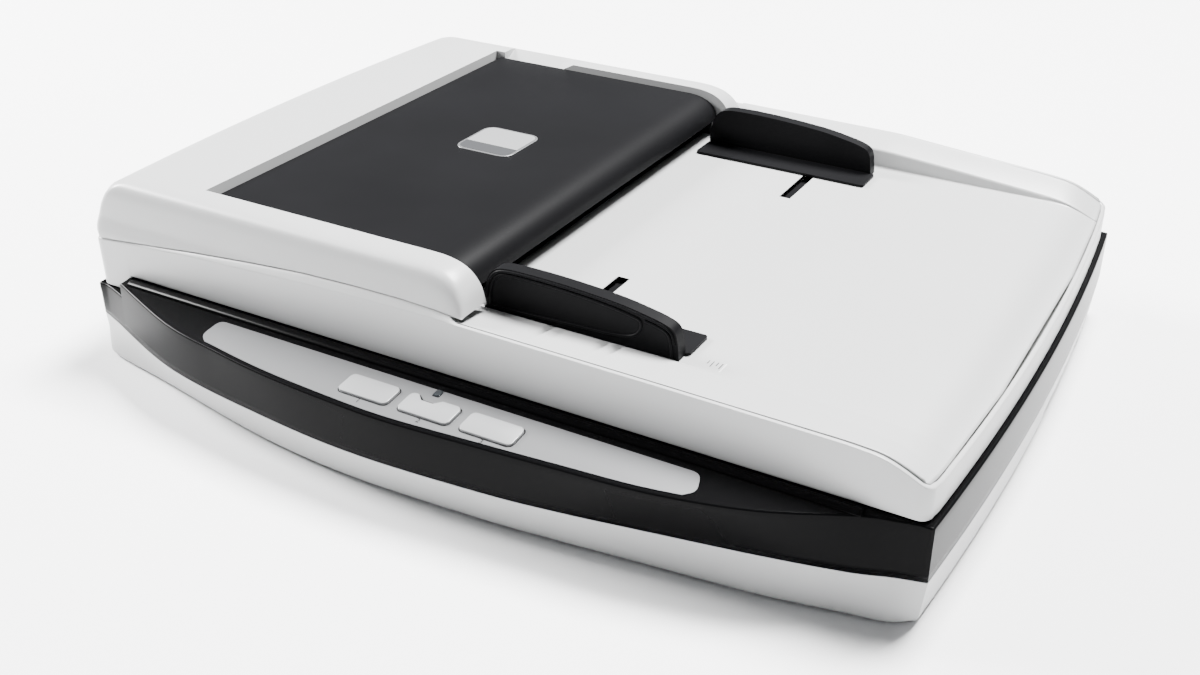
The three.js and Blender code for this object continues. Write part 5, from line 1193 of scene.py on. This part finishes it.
class SCANNER_OT_small(Operator):
    """Finishes the frame's own small pieces with rounded edges and their materials"""

    bl_idname = "scanner.small"
    bl_label = "Small pieces"

    def execute(self, context):
        slots = {row["node"]: row["material_slot"] for row in frame["record"]["subparts"]}
        for name, node in frame["nodes"].items():
            if node.hide_render:
                continue
            node.data.materials.clear()
            node.data.materials.append(finish(slots[name]))
            weld = node.modifiers.new("Weld", "WELD")
            weld.merge_threshold = DOUBLES / 2
            if name in ("flatbed_glass", "feeder_glass"):
                continue
            edge = KEY["edge"] if name.startswith("key_") else SMALL_EDGE
            round_edges(node, edge, SMALL_SHARP)
            node.data.polygons.foreach_set("use_smooth", np.ones(len(node.data.polygons), bool))
        return {"FINISHED"}


def key_ring(number, grow):
    """A key's outline grown by a distance, from above. The middle key's has the notch under the light."""
    at = from_left(KEYS[number])
    half = KEY["width"] / 2 + grow
    deep = KEY["depth"] / 2 + grow
    back = -KEY["middle"] + deep
    outline = round_rect((at - half, at + half), (-KEY["middle"] - deep, back), KEY["corner"] + grow)
    if number == 1:
        notch = KEY["notch"]
        bite = from_left(KEY["light"]) + np.array([2, 1, -1, -2]) * notch
        line = np.column_stack([bite, back - np.array([0, 1, 1, 0]) * (notch - grow)])
        split = np.argmax(outline[:, 1] > back - 1e-6) + 1
        outline = np.concatenate([outline[:split], line, outline[split:]])
    return outline


def key_gap_painted_shade(number):
    """Painted shade in the gap round a key: a flat dark ring between two grown outlines, just above the
    panel, over the slot round the key.
    """
    flat = np.stack([key_ring(number, KEY["gap_from"]), key_ring(number, KEY["gap_to"])])
    y = flat[..., 1]
    z = deck_height(np.zeros_like(y), y) + PANEL["stand"] + HAIR
    points = np.concatenate([flat, z[..., None]], axis=-1)
    return points, grid_faces(*points.shape[:2], wrap=True)


def panel_line():
    """The panel's outline from above: a straight back, slanted round ends and a front that follows the deck's
    bow."""
    left, right = from_left(np.array([PANEL["left"], PANEL["right"]]))
    back = -PANEL["back"]
    slant = PANEL["slant"]
    x = np.linspace(left + slant * PANEL["left_turn"], right - PANEL["right_turn"], 60)
    front = np.column_stack([x, bow_line(DECK_BOW, x) + PANEL["front"]])
    middle = (left + right) / 2
    start = [[middle, back], [left, back], [left, -PANEL["tip"]]]
    end = [[right + slant, PANEL["tip_rise"] - PANEL["tip"]], [right, back], [middle, back]]
    line = np.concatenate([start, front, end])
    corner = PANEL["corner"]
    reaches = [corner, corner, *[SHARP_REACH] * len(front), corner, corner]
    return rounded(line, reaches, 6)[:-1]


def deck_place(x, y, z):
    """Where something lies that is made flat and then tilted with the sloping deck."""
    tilt = np.arctan2(BASE["fall"], BASE["bow"])
    spot = placed(np.array([x, y, z]))
    return Matrix.Translation(Vector(spot)) @ Matrix.Rotation(tilt, 4, "X")


def panel_mesh():
    """The panel as a plate on the sloping deck: a filled curve with holes for the keys and the light."""
    tilt = np.arctan2(BASE["fall"], BASE["bow"])
    curve = bpy.data.curves.new("panel_outline", "CURVE")
    curve.dimensions = "2D"
    curve.fill_mode = "BOTH"
    curve.extrude = PANEL["thickness"] / 2 * MM
    light_x = from_left(KEY["light"]) + np.array([-1, 1]) * LIGHT_HOLE["half"]
    light_y = (-PANEL["back"] - LIGHT_HOLE["front"], -PANEL["back"] - LIGHT_HOLE["back"])
    holes = [key_ring(number, KEY["slot"]) for number in range(len(KEYS))]
    for outline in (panel_line(), round_rect(light_x, light_y, LIGHT_HOLE["corner"]), *holes):
        line = curve.splines.new("POLY")
        line.points.add(len(outline) - 1)
        flat = np.column_stack([outline[:, 0] * MM, outline[:, 1] * MM / np.cos(tilt), np.zeros(len(outline)),
                                np.ones(len(outline))])
        line.points.foreach_set("co", flat.ravel())
        line.use_cyclic_u = True
    middle = PANEL["stand"] - PANEL["thickness"] / 2
    place = deck_place(0, -np.sin(tilt) * middle, BASE["deck"] + np.cos(tilt) * middle)
    return curve_mesh(curve, place)


def numeral_mesh(number):
    """The numeral beside a key, as a flat mark on the sloping panel."""
    curve = bpy.data.curves.new(f"mark_{number + 1}", "FONT")
    curve.body = str(number + 1)
    curve.size = KEY["size"] * MM
    curve.extrude = KEY["ink"] * MM
    curve.align_x = "CENTER"
    curve.align_y = "CENTER"
    y = -KEY["label"]
    z = deck_height(np.array(0.0), np.array(y)) + PANEL["stand"] + KEY["ink"]
    return curve_mesh(curve, deck_place(from_left(KEYS[number]), y, z))


def curve_mesh(curve, place):
    """A curve or a text as a mesh in its place, with its doubles merged."""
    source = bpy.data.objects.new(curve.name + "_source", curve)
    bpy.context.collection.objects.link(source)
    bpy.context.view_layer.update()
    mesh = bpy.data.meshes.new_from_object(source)
    bpy.data.objects.remove(source)
    work = bmesh.new()
    work.from_mesh(mesh)
    bmesh.ops.remove_doubles(work, verts=work.verts, dist=DOUBLES)
    bmesh.ops.recalc_face_normals(work, faces=work.faces)
    work.to_mesh(mesh)
    work.free()
    mesh.transform(place)
    return mesh


def size_strip():
    """The pale strip beside the front guide's foot, with a row of plain ticks: the strip and the ticks, as
    plates."""
    low = np.interp(STRIP["from"], TRAY_AT, TRAY_FLOOR) + HAIR
    high = low + STRIP["thickness"]
    x = from_left(np.array([STRIP["from"], STRIP["to"]]))
    strip = slab(round_rect(x, (STRIP["front"], STRIP["back"]), STRIP["corner"]), low, high)
    start = STRIP["back"] - STRIP["edge"]
    half = STRIP["tick_half"]
    ticks = []
    for number, at in enumerate(np.linspace(x[0] + STRIP["margin"], x[1] - STRIP["margin"], STRIP["ticks"])):
        reach = STRIP["long"] if number % 2 == 0 else STRIP["short"]
        outline = round_rect((at - half, at + half), (start - reach, start), STRIP["tick_corner"])
        ticks.append(slab(outline, high, high + STRIP["ink"]))
    return strip, merged(ticks)


class SCANNER_OT_marks(Operator):
    """Builds the key panel with its plain numerals, the painted shade in the gaps round the keys and the
    strip with ticks
    """

    bl_idname = "scanner.marks"
    bl_label = "Panel and marks"

    def execute(self, context):
        for number in range(len(KEYS)):
            add_piece(f"mark_{number + 1}", numeral_mesh(number), "inner_black", "base")
            # Each key's gap gets a flat dark ring: painted shade over the slot round the key, not a part of
            # its own
            mesh = new_mesh(f"key_gap_{number + 1}", *key_gap_painted_shade(number), flip=True)
            add_piece(f"key_gap_{number + 1}", mesh, "inner_black", "base", wall=KEY["ink"])
        add_piece("panel_plate", panel_mesh(), "panel_silver", "base", ["control_panel"],
                  edge=PANEL["edge"])
        strip, ticks = size_strip()
        add_piece("size_strip", new_mesh("size_strip", *strip, closed=True), "pad_white", "lid")
        add_piece("size_ticks", new_mesh("size_ticks", *ticks, closed=True), "inner_black", "lid")
        return {"FINISHED"}


class SCANNER_OT_stage(Operator):
    """Sets the pale floor, the soft studio lights and the camera"""

    bl_idname = "scanner.stage"
    bl_label = "Stage"

    def execute(self, context):
        build_floor()
        build_lights(context.scene.scanner_look.key_light)
        build_camera(context)
        return {"FINISHED"}


def build_floor():
    """A large pale floor under the scanner, and the world's even light."""
    half = STAGE["half"]
    mesh = bpy.data.meshes.new("floor")
    corners = [(-half, -half, 0), (half, -half, 0), (half, half, 0), (-half, half, 0)]
    mesh.from_pydata(corners, [], [(0, 1, 2, 3)])
    floor = bpy.data.objects.new("floor", mesh)
    bpy.context.collection.objects.link(floor)
    material = bpy.data.materials.new("floor_paper")
    material.use_nodes = True
    tree = material.node_tree
    shader = tree.nodes["Principled BSDF"]
    shader.inputs["Roughness"].default_value = 0.9
    shader.inputs["Specular IOR Level"].default_value = 0.1
    noise = mixed_noise(tree, 3.0, 2)
    ramp = tree.nodes.new("ShaderNodeValToRGB")
    ramp.color_ramp.elements[0].color = STAGE["dark"]
    ramp.color_ramp.elements[1].color = STAGE["pale"]
    tree.links.new(noise.outputs["Fac"], ramp.inputs["Fac"])
    tree.links.new(ramp.outputs["Color"], shader.inputs["Base Color"])
    mesh.materials.append(material)
    world = bpy.data.worlds.new("studio")
    world.use_nodes = True
    sky = world.node_tree.nodes["Background"]
    sky.inputs["Color"].default_value = STAGE["sky"]
    sky.inputs["Strength"].default_value = STAGE["sky_strength"]
    bpy.context.scene.world = world


def build_lights(power):
    """The area lights, all turned to the origin: one low at the left, a strong one high behind and a faint
    one further back."""
    for name, row in LIGHTS.items():
        data = bpy.data.lights.new(name, "AREA")
        data.energy = power * row["share"]
        data.size = row["size"]
        light = bpy.data.objects.new(name, data)
        bpy.context.collection.objects.link(light)
        light.location = row["place"]
        light.rotation_euler = (-Vector(row["place"])).to_track_quat("-Z", "Y").to_euler()


def build_camera(context):
    """The camera at the photograph's angle: its azimuth, elevation and a small roll."""
    data = bpy.data.cameras.new("camera")
    data.lens = CAMERA["lens"]
    data.sensor_width = CAMERA["sensor"]
    data.shift_x = CAMERA["shift_x"]
    data.shift_y = CAMERA["shift_y"]
    data.dof.use_dof = False
    data.clip_start = CAMERA["near"]
    data.clip_end = CAMERA["far"]
    camera = bpy.data.objects.new("camera", data)
    context.collection.objects.link(camera)
    azimuth, elevation, roll = np.radians([CAMERA["azimuth"], CAMERA["elevation"], CAMERA["roll"]])
    level = np.cos(elevation)
    view = np.array([-np.sin(azimuth) * level, np.cos(azimuth) * level, -np.sin(elevation)])
    right = np.cross(view, [0, 0, 1])
    right /= np.linalg.norm(right)
    down = np.cross(view, right)
    turned = np.cos(roll) * right + np.sin(roll) * down
    low = np.cross(view, turned)
    spot = np.array([CAMERA["x"], FRONT - CAMERA["in_front"], CAMERA["z"]])
    place = np.eye(4)
    place[:3] = np.column_stack([turned, -low, -view, spot])
    camera.matrix_world = Matrix(place.tolist())
    context.scene.camera = camera


class SCANNER_PT_panel(Panel):
    """Lists the scanner's pieces in the sidebar"""

    bl_idname = "SCANNER_PT_panel"
    bl_label = "Scanner"
    bl_space_type = "VIEW_3D"
    bl_region_type = "UI"
    bl_category = "Scanner"

    def draw(self, context):
        look = context.scene.scanner_look
        for name in ("shell_colour", "band_colour", "cover_colour", "panel_colour", "edge_round",
                     "key_light"):
            self.layout.prop(look, name)
        for operator in OPERATORS:
            self.layout.operator(operator.bl_idname)


OPERATORS = (SCANNER_OT_stage, SCANNER_OT_lid, SCANNER_OT_housing, SCANNER_OT_cover, SCANNER_OT_base,
             SCANNER_OT_guides, SCANNER_OT_pad, SCANNER_OT_marks, SCANNER_OT_small)
CLASSES = (SCANNER_PG_look, *OPERATORS, SCANNER_PT_panel)


def register():
    """Registers the classes and the scene's own settings."""
    for each in CLASSES:
        bpy.utils.register_class(each)
    bpy.types.Scene.scanner_look = PointerProperty(type=SCANNER_PG_look)


def unregister():
    """Takes the classes and the settings away again."""
    del bpy.types.Scene.scanner_look
    for each in reversed(CLASSES):
        bpy.utils.unregister_class(each)


def main():
    """Registers the add-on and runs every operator."""
    register()
    bpy.ops.scanner.stage()
    bpy.ops.scanner.lid()
    bpy.ops.scanner.housing()
    bpy.ops.scanner.cover()
    bpy.ops.scanner.base()
    bpy.ops.scanner.guides()
    bpy.ops.scanner.pad()
    bpy.ops.scanner.marks()
    bpy.ops.scanner.small()
    bpy.context.view_layer.update()


if __name__ == "__main__":
    main()
